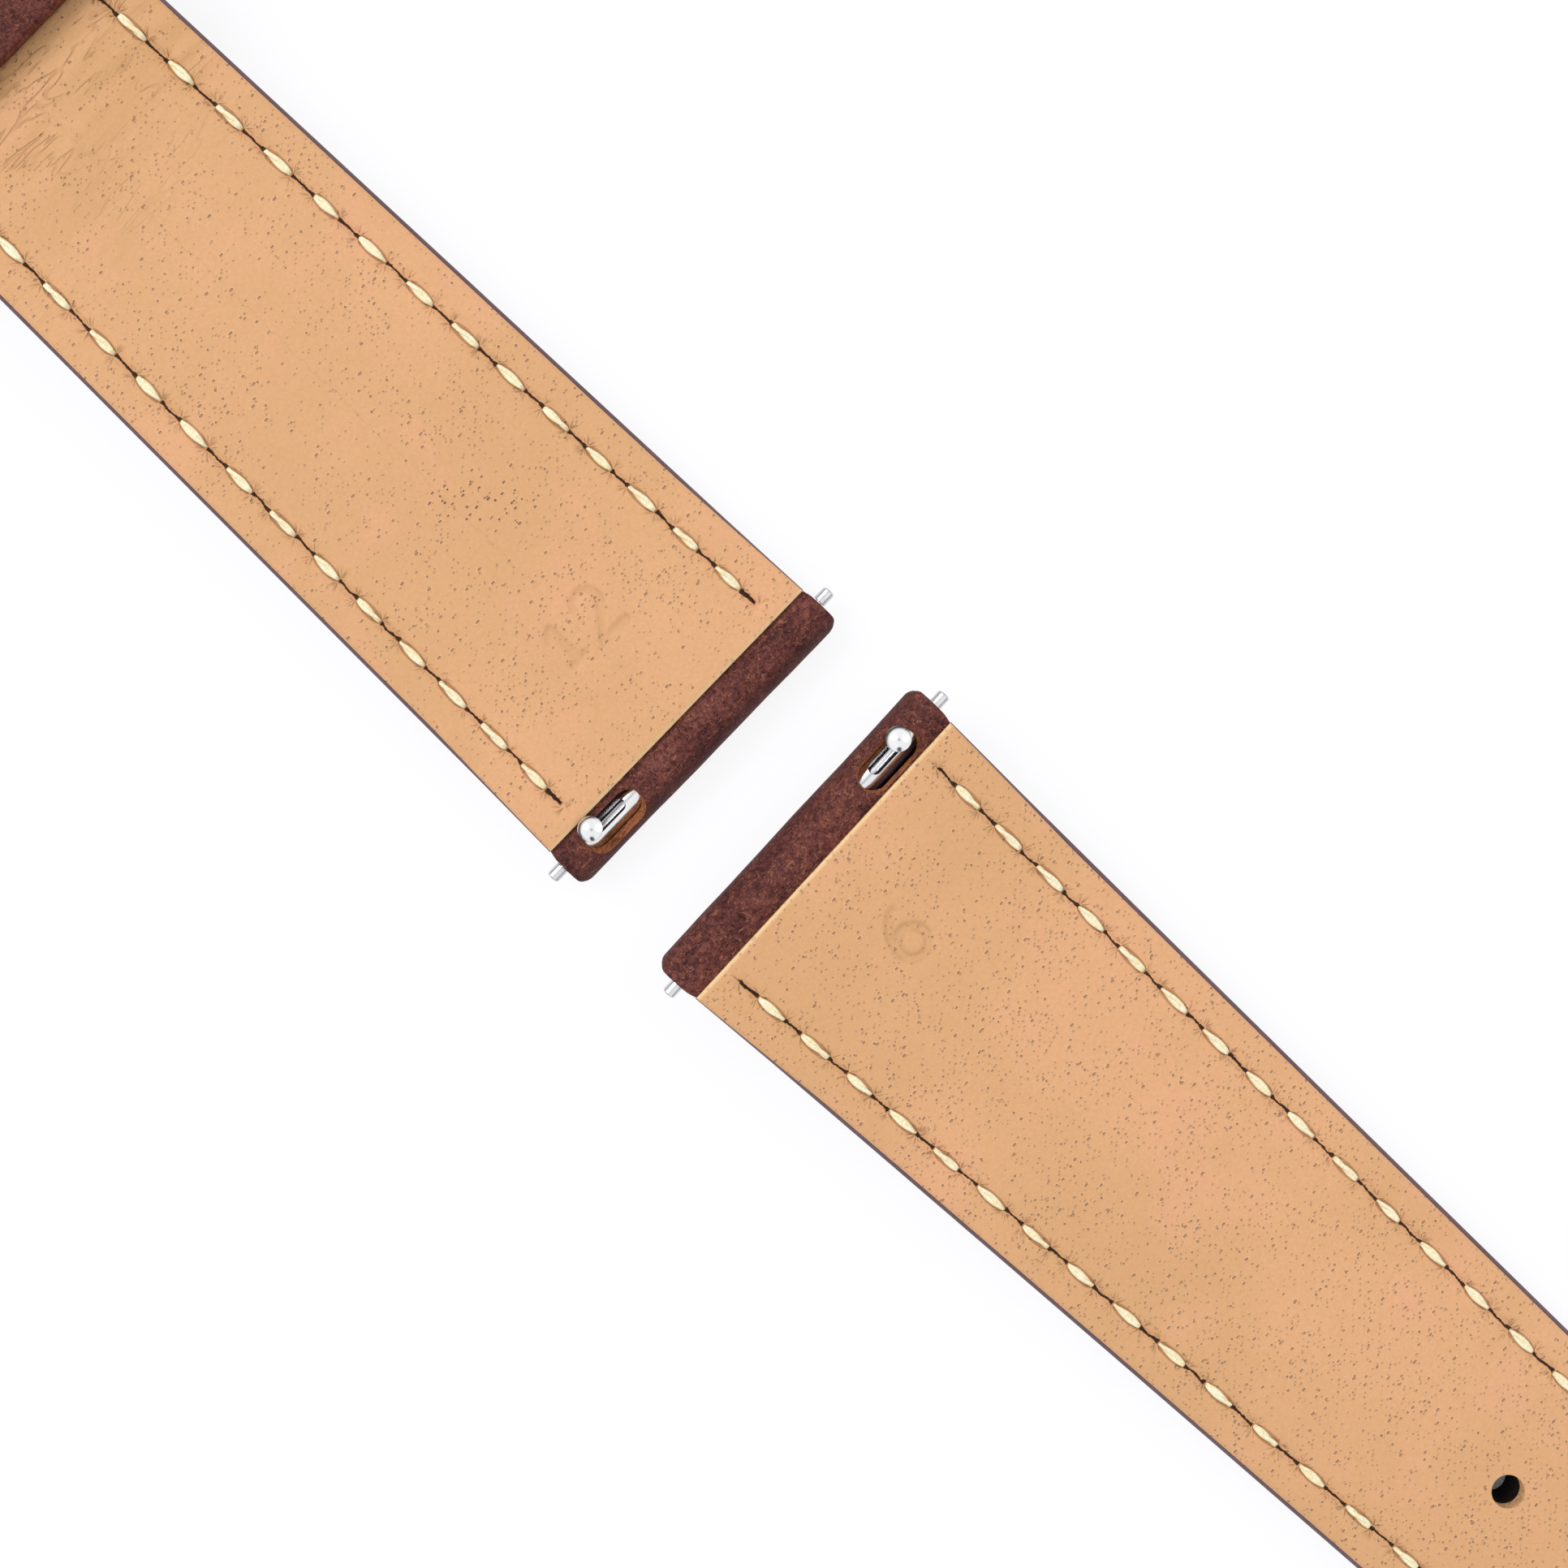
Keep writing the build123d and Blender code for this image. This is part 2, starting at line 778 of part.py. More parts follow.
def make_buckle_tongue():
    """Flat tongue with an eye round the buckle bar."""
    plane = hanging_plane(tongue_droop)
    side = Plane(origin=plane.origin, x_dir=plane.y_dir, z_dir=plane.x_dir)
    with BuildPart() as tongue:
        with BuildSketch(plane):
            with Locations((0, tongue_length / 2)):
                SlotOverall(tongue_length + tongue_width, tongue_width, rotation=90)
        extrude(amount=tongue_thickness / 2, both=True)
        fillet(tongue.faces().filter_by(plane).edges(), tongue_edge_round)
        with BuildSketch(side):
            Circle(tongue_eye_radius)
        extrude(amount=tongue_eye_width / 2, both=True)
        with BuildSketch(side):
            Circle(buckle_tunnel_radius)
        extrude(amount=tongue_eye_width, both=True, mode=Mode.SUBTRACT)
    return tongue


# The keepers


def loop_solid(along, top, bar, width):
    """Leather loop across the strap; bar is the thickness of its upper side."""
    outer_width = width + 2 * keeper_thickness
    outer_bottom = -keeper_gap - keeper_thickness
    outer_top = top + bar
    with BuildPart() as loop:
        with BuildSketch(buckle_half.cross_plane(along)):
            with Locations((0, (outer_bottom + outer_top) / 2)):
                RectangleRounded(outer_width, outer_top - outer_bottom, keeper_corner_radius)
            with Locations((0, (top - keeper_gap) / 2)):
                Rectangle(width, top + keeper_gap, mode=Mode.SUBTRACT)
        extrude(amount=keeper_width)
    return loop.part


free_keeper_inner_top = buckle_half.top(free_keeper_along) + keeper_top_clearance
fixed_keeper_tuck_top = (
    buckle_half.lining_bottom(fixed_keeper_along + keeper_width) - keeper_tuck_clearance
)


def keeper_stitch_boxes(grow):
    """The two stitches that join the free keeper's ends, grown all round by a gap."""
    low = free_keeper_inner_top + thread_thickness / 2
    high = low + keeper_thickness - thread_thickness
    reach = keeper_stitch_length / 2
    middle = free_keeper_along + keeper_width / 2
    places = (middle - keeper_stitch_spread / 2, middle + keeper_stitch_spread / 2)
    boxes = [box_between(buckle_half, (reach, places[0], low), (reach, places[1], low), grow)]
    for along in places:
        for height in (low, high):
            ends = ((-reach, along, height), (reach, along, height))
            boxes.append(box_between(buckle_half, *ends, grow))
        for end in (-reach, reach):
            boxes.append(post_between(buckle_half, end, along, low, high, grow))
    return boxes


# Threads, as square runs and posts between their slits


def box_between(half, start, end, grow, below=0):
    """A straight run of thread between two places: across, along and height.

    A cutter is grown all round by a gap, and reaches further down by what below says.
    """
    first = half.place(*start)
    last = half.place(*end)
    along_run = (last - first).normalized()
    upward = half.upward((start[1] + end[1]) / 2)
    sideways = upward.cross(along_run).normalized()
    upward = along_run.cross(sideways)
    length = (last - first).length + thread_width + 2 * grow
    width = thread_width + 2 * grow
    height = thread_thickness + 2 * grow + below
    corner = (
        (first + last) / 2
        - along_run * length / 2
        - sideways * width / 2
        - upward * (thread_thickness / 2 + grow + below)
    )
    return Solid.make_box(length, width, height, Plane(corner, x_dir=along_run, z_dir=upward))


def post_between(half, across, along, low, high, grow):
    """A leg of thread through the layers, between the middles of two runs."""
    foot = half.place(across, along, low)
    head = half.place(across, along, high)
    size = thread_leg_width + 2 * grow
    upward = (head - foot).normalized()
    onward = half.frame.x_dir.cross(upward) * -1
    corner = foot - half.frame.x_dir * size / 2 - onward * size / 2
    height = (head - foot).length
    return Solid.make_box(size, size, height, Plane(corner, x_dir=half.frame.x_dir, z_dir=upward))


def row_paths(half):
    """Plan lines of the stitch rows: two along the buckle half, one round the hole half."""
    if half is hole_half:
        with BuildLine() as path:
            plan_line(half, row_inset)
        return [path.wire()]
    wires = []
    stop = buckle_bar_along - buckle_row_stop
    for side in (1, -1):
        with BuildLine() as path:
            Line(
                (side * (half.lug_width / 2 - row_inset), 0),
                (side * (half.width(stop) / 2 - row_inset), stop),
            )
        wires.append(path.wire())
    return wires


def row_points(half, wire):
    """Places of a row's slits: each even one starts a stitch, each odd one ends it."""
    lead = row_start + (overrun if half is hole_half else 0)
    tail = lead if half is hole_half else 0
    length = wire.length - lead - tail - stitch_length
    count = round(length / stitch_pitch)
    pitch = length / count
    points = []
    for i in range(count + 1):
        for extra in (0, stitch_length):
            place = wire.position_at(lead + i * pitch + extra, PositionMode.LENGTH)
            points.append((place.X, place.Y))
    return points


face_run_height = thread_gap + thread_thickness / 2


def top_run_height(half, along):
    return half.top(along) - thread_sunk + thread_thickness / 2


def top_runs(half, points, grow):
    """Runs in shallow pockets of the lining."""
    return [
        box_between(
            half, (*a, top_run_height(half, a[1])), (*b, top_run_height(half, b[1])), grow
        )
        for a, b in zip(points[::2], points[1::2])
    ]


def face_runs(half, points, grow):
    """Runs in grooves of the face leather, which open through the face."""
    below = overrun if grow else 0
    return [
        box_between(half, (*a, face_run_height), (*b, face_run_height), grow, below)
        for a, b in zip(points[1::2], points[2::2])
    ]


def posts(half, points, grow):
    return [
        post_between(
            half,
            *point,
            face_run_height,
            top_run_height(half, point[1]),
            grow,
        )
        for point in points
    ]


rows = {
    half: [row_points(half, wire) for wire in row_paths(half)]
    for half in (buckle_half, hole_half)
}


def make_thread(half, points):
    with BuildPart() as thread:
        add(top_runs(half, points, 0) + face_runs(half, points, 0) + posts(half, points, 0))
    return thread


def slit_cutters(half, *run_kinds):
    """Slits for every post of a half's rows, with the pockets or grooves of its runs."""
    cutters = []
    for points in rows[half]:
        for kind in (posts, *run_kinds):
            cutters += kind(half, points, thread_gap)
    return cutters


# The leather layers


def lug_turn(half):
    """Side-view outline of the leather turned round the lug bar, from its inside edge."""
    flap_top, flap_bottom = flap_end(half)
    tunnel_low = (lug_roll_radius, lug_roll_radius - lug_tunnel_radius)
    tunnel_high = (lug_roll_radius, lug_roll_radius + lug_tunnel_radius)
    side_line(half, [(lug_flap_length, upper_thickness), tunnel_low])
    side_round(half, roll_centre, lug_tunnel_radius, -1)
    side_line(half, [tunnel_high, flap_bottom])
    side_line(half, [flap_bottom, flap_top])
    side_line(half, [flap_top, lug_lining_edge, (lug_roll_radius, 2 * lug_roll_radius)])
    side_round(half, roll_centre, lug_roll_radius, -1)


def make_buckle_half_upper():
    """Face leather, turned round the lug bar at one end and the buckle bar at the other."""
    half = buckle_half
    flap_top, flap_bottom = buckle_flap_end()
    end_low = (buckle_bar_along, buckle_roll_radius - buckle_tunnel_radius)
    end_high = (buckle_bar_along, buckle_roll_radius + buckle_tunnel_radius)
    with BuildPart() as upper:
        with BuildSketch(half.side_plane()):
            with BuildLine():
                lug_turn(half)
                side_line(half, [(lug_roll_radius, 0), (buckle_bar_along, 0)])
                side_round(half, buckle_roll_centre, buckle_roll_radius, 1)
                side_line(
                    half,
                    [
                        (buckle_bar_along, 2 * buckle_roll_radius),
                        buckle_lining_edge(),
                        flap_top,
                        flap_bottom,
                        end_high,
                    ],
                )
                side_round(half, buckle_roll_centre, buckle_tunnel_radius, 1)
                side_line(
                    half,
                    [
                        end_low,
                        (flap_top[0], upper_thickness),
                        (lug_flap_length, upper_thickness),
                    ],
                )
            make_face()
        extrude(amount=half.lug_width, both=True)
        add(plan_block(half, 0), mode=Mode.INTERSECT)
        for side in (1, -1):
            add(lug_corner_block(half, side), mode=Mode.SUBTRACT)
        add(window_block(half), mode=Mode.SUBTRACT)
        add(tongue_slot_block(), mode=Mode.SUBTRACT)
        add(slit_cutters(half, face_runs), mode=Mode.SUBTRACT)
    return upper


def make_hole_half_upper():
    """Face leather of the hole half, turned round the lug bar."""
    half = hole_half
    end = half.length + overrun
    with BuildPart() as upper:
        with BuildSketch(half.side_plane()):
            with BuildLine():
                lug_turn(half)
                side_line(half, [(lug_roll_radius, 0), (end, 0), (end, upper_thickness)])
                side_line(half, [(end, upper_thickness), (lug_flap_length, upper_thickness)])
            make_face()
        extrude(amount=half.lug_width, both=True)
        add(plan_block(half, 0), mode=Mode.INTERSECT)
        for side in (1, -1):
            add(lug_corner_block(half, side), mode=Mode.SUBTRACT)
        add(window_block(half), mode=Mode.SUBTRACT)
        add(adjusting_hole_pins(), mode=Mode.SUBTRACT)
        add(slit_cutters(half, face_runs), mode=Mode.SUBTRACT)
    return upper


def make_lining(half):
    """Tan lining, laid over the edges of the turned-under leather."""
    flap_top = flap_end(half)[0]
    start = [(lug_lining_start, lug_thickness), lug_lining_edge, flap_top]
    if half is buckle_half:
        along = buckle_bar_along - buckle_lining_stop
        end = [buckle_flap_end()[0], buckle_lining_edge(), (along, half.top(along))]
    else:
        along = half.length + overrun
        end = [(along, half.lining_bottom(along)), (along, half.top(along))]
    with BuildPart() as lining:
        with BuildSketch(half.side_plane()):
            with BuildLine():
                side_line(half, start + end + start[:1])
            make_face()
        extrude(amount=half.lug_width, both=True)
        add(plan_block(half, lining_inset), mode=Mode.INTERSECT)
        if half is hole_half:
            add(adjusting_hole_pins(), mode=Mode.SUBTRACT)
        add(slit_cutters(half, top_runs), mode=Mode.SUBTRACT)
    return lining


def make_filler(half):
    """Stiffener between the face leather and the lining."""
    flap_top, flap_bottom = flap_end(half)
    front = lug_roll_radius + lug_tunnel_radius + running_clearance
    tunnel_low = (lug_roll_radius, lug_roll_radius - lug_tunnel_radius)
    tunnel_high = (lug_roll_radius, lug_roll_radius + lug_tunnel_radius)
    inner = (lug_flap_length, upper_thickness)
    start = [
        flap_top,
        flap_bottom,
        (front, on_line(tunnel_high, flap_bottom, front)),
        (front, on_line(tunnel_low, inner, front)),
        inner,
    ]
    if half is buckle_half:
        far_top, far_bottom = buckle_flap_end()
        back = buckle_bar_along - buckle_tunnel_radius - running_clearance
        low = (far_top[0], upper_thickness)
        end_low = (buckle_bar_along, buckle_roll_radius - buckle_tunnel_radius)
        end_high = (buckle_bar_along, buckle_roll_radius + buckle_tunnel_radius)
        end = [
            low,
            (back, on_line(low, end_low, back)),
            (back, on_line(far_bottom, end_high, back)),
            far_bottom,
            far_top,
        ]
    else:
        along = half.length + overrun
        end = [(along, upper_thickness), (along, half.lining_bottom(along))]
    with BuildPart() as filler:
        with BuildSketch(half.side_plane()):
            with BuildLine():
                side_line(half, start + end + start[:1])
            make_face()
        extrude(amount=half.lug_width, both=True)
        add(plan_block(half, lining_inset), mode=Mode.INTERSECT)
        if half is hole_half:
            add(adjusting_hole_pins(), mode=Mode.SUBTRACT)
        else:
            add(tongue_slot_block(), mode=Mode.SUBTRACT)
            add(keeper_tuck_block(), mode=Mode.SUBTRACT)
        add(slit_cutters(half), mode=Mode.SUBTRACT)
    return filler


def make_free_keeper():
    """Loose loop that slides along the buckle half."""
    width = buckle_half.width(free_keeper_along) + 2 * keeper_side_clearance
    top = free_keeper_inner_top
    with BuildPart() as keeper:
        add(loop_solid(free_keeper_along, top, keeper_thickness, width))
        with BuildSketch(buckle_half.cross_plane(free_keeper_along)):
            with Locations((0, top + keeper_thickness / 2)):
                Rectangle(keeper_seam_width, keeper_thickness + overrun)
        extrude(amount=keeper_width, mode=Mode.SUBTRACT)
        add(keeper_stitch_boxes(thread_gap), mode=Mode.SUBTRACT)
    return keeper


def make_fixed_keeper():
    """Loop beside the buckle, whose skived ends are sewn in under the lining."""
    width = buckle_half.width(fixed_keeper_along) + 2 * keeper_side_clearance
    top = fixed_keeper_tuck_top - keeper_tuck_thickness
    with BuildPart() as keeper:
        add(loop_solid(fixed_keeper_along, top, keeper_tuck_thickness, width))
        add(slit_cutters(buckle_half), mode=Mode.SUBTRACT)
    return keeper


def make_free_keeper_thread():
    with BuildPart() as thread:
        add(keeper_stitch_boxes(0))
    return thread


pieces = {
    "buckle_half_upper_leather": make_buckle_half_upper(),
    "buckle_half_filler": make_filler(buckle_half),
    "buckle_half_lining": make_lining(buckle_half),
    "buckle_half_right_thread": make_thread(buckle_half, rows[buckle_half][0]),
    "buckle_half_left_thread": make_thread(buckle_half, rows[buckle_half][1]),
    "fixed_keeper": make_fixed_keeper(),
    "free_keeper": make_free_keeper(),
    "free_keeper_thread": make_free_keeper_thread(),
    "buckle_frame": make_buckle_frame(),
    "buckle_tongue": make_buckle_tongue(),
    "buckle_bar_tube": make_buckle_tube(),
    "buckle_bar_right_plunger": make_buckle_plunger(buckle_bar_plane()),
    "buckle_bar_left_plunger": make_buckle_plunger(turned_end(buckle_bar_plane())),
    "buckle_bar_spring": make_buckle_spring(),
    "hole_half_upper_leather": make_hole_half_upper(),
    "hole_half_filler": make_filler(hole_half),
    "hole_half_lining": make_lining(hole_half),
    "hole_half_thread": make_thread(hole_half, rows[hole_half][0]),
}
for half in (buckle_half, hole_half):
    pieces[f"{half.name}_lug_bar_tube"] = make_lug_bar_tube(half)
    pieces[f"{half.name}_lever_plunger"] = make_lever_plunger(half)
    pieces[f"{half.name}_release_knob"] = make_release_knob(half)
    pieces[f"{half.name}_plain_plunger"] = make_plain_plunger(half)
    pieces[f"{half.name}_lug_bar_spring"] = make_lug_bar_spring(half)

for name, piece in pieces.items():
    piece.part.label = name
    export_step(piece.part, f"parts/{name}.step")
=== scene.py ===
"""Two-piece leather watch strap with quick-release bars, lying lining side up on a white table.

Sizes are in millimetres until place() turns them into the frame's metres. Each half is drawn in
its own frame: across the strap, along it from its lug end, and height over its face leather.
"""

from math import asin, atan2, cos, degrees, hypot, pi, radians, sin, sqrt

import bpy
import numpy as np
from mathutils import Matrix, Vector


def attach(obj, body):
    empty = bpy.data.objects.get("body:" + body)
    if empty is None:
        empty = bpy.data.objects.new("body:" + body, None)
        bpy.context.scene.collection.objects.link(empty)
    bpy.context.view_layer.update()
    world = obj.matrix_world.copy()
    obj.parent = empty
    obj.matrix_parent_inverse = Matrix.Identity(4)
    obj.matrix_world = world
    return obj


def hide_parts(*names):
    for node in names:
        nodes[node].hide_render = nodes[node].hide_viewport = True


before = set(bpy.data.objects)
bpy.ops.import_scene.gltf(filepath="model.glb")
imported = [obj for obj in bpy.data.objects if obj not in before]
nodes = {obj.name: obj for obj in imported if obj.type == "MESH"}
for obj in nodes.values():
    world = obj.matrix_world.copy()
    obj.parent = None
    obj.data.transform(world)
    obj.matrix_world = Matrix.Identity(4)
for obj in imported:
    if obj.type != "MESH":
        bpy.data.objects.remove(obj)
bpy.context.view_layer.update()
MM = 0.001

# The strap's sizes, as in the part's source
LUG_GAP = 5.9
MIDDLE_SHIFT = 14.4755
LUG_WIDTH = {"buckle": 21.9, "hole": 22.15}
END_WIDTH = 18.0
TAPER_LENGTH = 75.0
BUCKLE_BAR_ALONG = 79.0
HOLE_HALF_LENGTH = 120.0
TIP_LENGTH = 11.0
TIP_NOSE_WIDTH = 7.0
TIP_NOSE_LENGTH = 0.9
UPPER = 1.1
LINING = 0.85
LINING_EDGE = 0.4
LUG_THICKNESS = 3.6
LUG_ROLL = 1.75
BUCKLE_ROLL = 1.6
LINING_START = 2.95
FLAP_LENGTH = 9.0
FLAP_EDGE = 0.25
LINING_STOP = 3.6
BUCKLE_FLAP_STOP = 6.0
TUNNEL = 0.95
BUCKLE_TUNNEL = 0.8
CORE_INSET = 0.1
FLAP_INSET = 0.16
LINING_SPREAD = 0.06
LUG_EDGE_BAND = 0.13
EDGE_BAND = {"buckle": 0.34, "hole": 0.36}
KNOB_PLACE = 8.1
KEEPER_WIDTH = 6.0
KEEPER_THICKNESS = 1.3
KEEPER_GAP = 2.9
FREE_KEEPER_ALONG = 56.5
FIXED_KEEPER_ALONG = 63.5
FIXED_KEEPER_TOP = 2.19495
FREE_KEEPER_TOP = 3.37751
KEEPER_SEAM = 0.12
KEEPER_STITCH_LENGTH = 2.4
KEEPER_STITCH_SPREAD = 2.6
FIRST_HOLE = 58.65
HOLE_SPACING = 7.0
HOLE_COUNT = 7
HOLE_RADIUS = 1.0


class Half:
    """One half of the strap: its frame, plan and thickness, and its lug end's lift and curl."""

    def __init__(self, name, origin, across, onward, upward, length, end_thickness, lift, flat):
        self.name = name
        self.origin = np.array(origin)
        self.axes = np.array([across, onward, upward])
        self.lug_width = LUG_WIDTH[name]
        self.length = length
        self.end_thickness = end_thickness
        self.flat = flat
        self.radius = flat**2 / (2 * lift) if lift else 0

    def half_width(self, along):
        share = np.clip(along / TAPER_LENGTH, 0, 1)
        return (self.lug_width + (END_WIDTH - self.lug_width) * share) / 2

    def top(self, along):
        share = (along - LINING_START) / (self.length - LINING_START)
        return LUG_THICKNESS + (self.end_thickness - LUG_THICKNESS) * share

    def lining_bottom(self, along):
        return self.top(along) - LINING

    def place(self, across, along, height):
        """Points of the strap in the frame, from their places in the half."""
        across, along, height = np.broadcast_arrays(across, along, height)
        if self.radius:
            angle = np.maximum(self.flat - along, 0) / self.radius
            curled = along < self.flat
            along, height = (
                np.where(curled, self.flat - (self.radius - height) * np.sin(angle), along),
                np.where(curled, self.radius - (self.radius - height) * np.cos(angle), height),
            )
        local = np.stack([across, along, height], axis=-1)
        return (self.origin + local @ self.axes) * MM


# The buckle half leans on its keepers, and the hole half is turned a little and curled up
HOLE_HALF_SHIFT = 0.06
HOLE_HALF_TURN = radians(1.3)
stand_length = FREE_KEEPER_ALONG - LUG_ROLL
stand_height = LUG_ROLL + KEEPER_GAP + KEEPER_THICKNESS
tilt = atan2(stand_height, stand_length) - asin(LUG_ROLL / hypot(stand_length, stand_height))
buckle_half = Half(
    "buckle",
    origin=(0, MIDDLE_SHIFT + LUG_GAP / 2, LUG_ROLL * (1 - sin(tilt) - cos(tilt))),
    across=(1, 0, 0),
    onward=(0, cos(tilt), sin(tilt)),
    upward=(0, -sin(tilt), cos(tilt)),
    length=BUCKLE_BAR_ALONG,
    end_thickness=3.0,
    lift=0,
    flat=0,
)
hole_half = Half(
    "hole",
    origin=(HOLE_HALF_SHIFT, MIDDLE_SHIFT - LUG_GAP / 2, 0),
    across=(-cos(HOLE_HALF_TURN), -sin(HOLE_HALF_TURN), 0),
    onward=(sin(HOLE_HALF_TURN), -cos(HOLE_HALF_TURN), 0),
    upward=(0, 0, 1),
    length=HOLE_HALF_LENGTH,
    end_thickness=2.6,
    lift=2.8,
    flat=60.0,
)


# Camera, straight above the lug ends and turned as the photograph is

CAMERA_PLACE = (1.6636, MIDDLE_SHIFT - 1.8868, 120.0)
CAMERA_ROLL = radians(-45.997)
CAMERA_LEAN = (0.0017, -0.0026)
PICTURE_PIXELS = 1932
FOCAL_PIXELS = 2424.19
SENSOR_WIDTH = 36


def aim_camera():
    right = Vector((cos(CAMERA_ROLL), sin(CAMERA_ROLL), 0))
    up = Vector((-sin(CAMERA_ROLL), cos(CAMERA_ROLL), 0))
    back = (Vector((0, 0, 1)) + right * CAMERA_LEAN[0] + up * CAMERA_LEAN[1]).normalized()
    right = (right - back * right.dot(back)).normalized()
    up = back.cross(right)
    camera = bpy.data.objects.new("camera", bpy.data.cameras.new("camera"))
    bpy.context.scene.collection.objects.link(camera)
    turned = Matrix((right, up, back)).transposed().to_4x4()
    camera.matrix_world = Matrix.Translation([place * MM for place in CAMERA_PLACE]) @ turned
    camera.data.sensor_width = SENSOR_WIDTH
    camera.data.lens = SENSOR_WIDTH * FOCAL_PIXELS / PICTURE_PIXELS
    camera.data.clip_start = 0.005
    camera.data.clip_end = 10
    bpy.context.scene.camera = camera


aim_camera()


# Finishes

def tone(red, green, blue):
    """Colour of a surface, from its values on a screen."""
    shares = [part / 255 for part in (red, green, blue)]
    return tuple(
        share / 12.92 if share <= 0.04045 else ((share + 0.055) / 1.055) ** 2.4
        for share in shares
    ) + (1.0,)


def maths(operation, swapped=False):
    """A method of Value that adds a Math node; swapped puts the value after the other one."""
    def method(self, *others):
        given = (*others, self) if swapped else (self, *others)
        return self.finish.add("ShaderNodeMath", {"operation": operation}, dict(enumerate(given)))
    return method


class Value:
    """A node's socket, with arithmetic that adds Math nodes."""

    __add__, __radd__ = maths("ADD"), maths("ADD", True)
    __sub__, __rsub__ = maths("SUBTRACT"), maths("SUBTRACT", True)
    __mul__, __rmul__ = maths("MULTIPLY"), maths("MULTIPLY", True)
    __truediv__ = maths("DIVIDE")
    __pow__ = maths("POWER")
    __abs__ = maths("ABSOLUTE")
    part = maths("FRACT")
    least = maths("MINIMUM")
    most = maths("MAXIMUM")

    def __init__(self, finish, socket):
        self.finish = finish
        self.socket = socket

    def rise(self, low, high):
        """0 up to low and 1 from high, smooth between; with low above high, the other way."""
        given = {"Value": self, "From Min": min(low, high), "From Max": max(low, high)}
        if low > high:
            given.update({"To Min": 1.0, "To Max": 0.0})
        return self.finish.add("ShaderNodeMapRange", {"interpolation_type": "SMOOTHSTEP"}, given)


class Finish:
    """One material, built from nodes."""

    def __init__(self, name):
        self.material = bpy.data.materials.new(name)
        self.material.use_nodes = True
        self.tree = self.material.node_tree
        self.tree.nodes.clear()
        self.output = self.tree.nodes.new("ShaderNodeOutputMaterial")

    def add(self, kind, settings=None, given=None, output=0):
        node = self.tree.nodes.new(kind)
        for name, value in (settings or {}).items():
            if name == "stops":
                while len(node.color_ramp.elements) < len(value):
                    node.color_ramp.elements.new(0.5)
                for element, (place, colour) in zip(node.color_ramp.elements, value):
                    element.position = place
                    element.color = colour
            else:
                setattr(node, name, value)
        for name, value in (given or {}).items():
            if isinstance(value, Value):
                self.tree.links.new(value.socket, node.inputs[name])
            else:
                node.inputs[name].default_value = value
        return Value(self, node.outputs[output])

    def place(self):
        """Object coordinates, in millimetres."""
        given = {0: self.add("ShaderNodeTexCoord", output="Object"), "Scale": 1 / MM}
        return self.add("ShaderNodeVectorMath", {"operation": "SCALE"}, given)

    def split(self, whole, kind="ShaderNodeSeparateXYZ"):
        """The three numbers of a vector or a colour."""
        first = self.add(kind, None, {0: whole})
        return [Value(self, output) for output in first.socket.node.outputs]

    def mark(self, name):
        """A mark that a piece's mesh holds, from 0 to 1."""
        return self.add("ShaderNodeAttribute", {"attribute_name": name}, output="Fac")

    def stretched(self, spot, turned, scale):
        given = {"Vector": spot, "Rotation": turned, "Scale": scale}
        return self.add("ShaderNodeMapping", None, given)

    def noise(self, spot, scale, detail=2.0, roughness=0.5, distortion=0.0, output=0):
        given = {"Vector": spot, "Scale": scale, "Detail": detail}
        given.update({"Roughness": roughness, "Distortion": distortion})
        return self.add("ShaderNodeTexNoise", None, given, output)

    def cells(self, spot, scale, feature="F1", output="Distance", flat=False):
        settings = {"feature": feature, "voronoi_dimensions": "2D" if flat else "3D"}
        given = {"Vector": spot, "Scale": scale, "Randomness": 1.0}
        return self.add("ShaderNodeTexVoronoi", settings, given, output)

    def mix(self, share, first, second):
        given = {"Factor": share, 6: first, 7: second}
        return self.add("ShaderNodeMix", {"data_type": "RGBA"}, given, 2)

    def bump(self, height, distance, strength):
        """Relief in a surface, with its height in millimetres."""
        given = {"Height": height, "Distance": distance * MM, "Strength": strength}
        return self.add("ShaderNodeBump", None, given)

    def show(self, shader):
        self.tree.links.new(shader.socket, self.output.inputs["Surface"])

    def surface(self, **sockets):
        given = {name.replace("_", " "): value for name, value in sockets.items()}
        self.show(self.add("ShaderNodeBsdfPrincipled", None, given))
        return self.material


STITCH_SHARE = 0.585
STITCH_PITCH = 3.6
ROW_COUNTS = 100
SLIT_START = LUG_GAP / 2 + 4.35
THREAD_HALF_WIDTH = 0.29


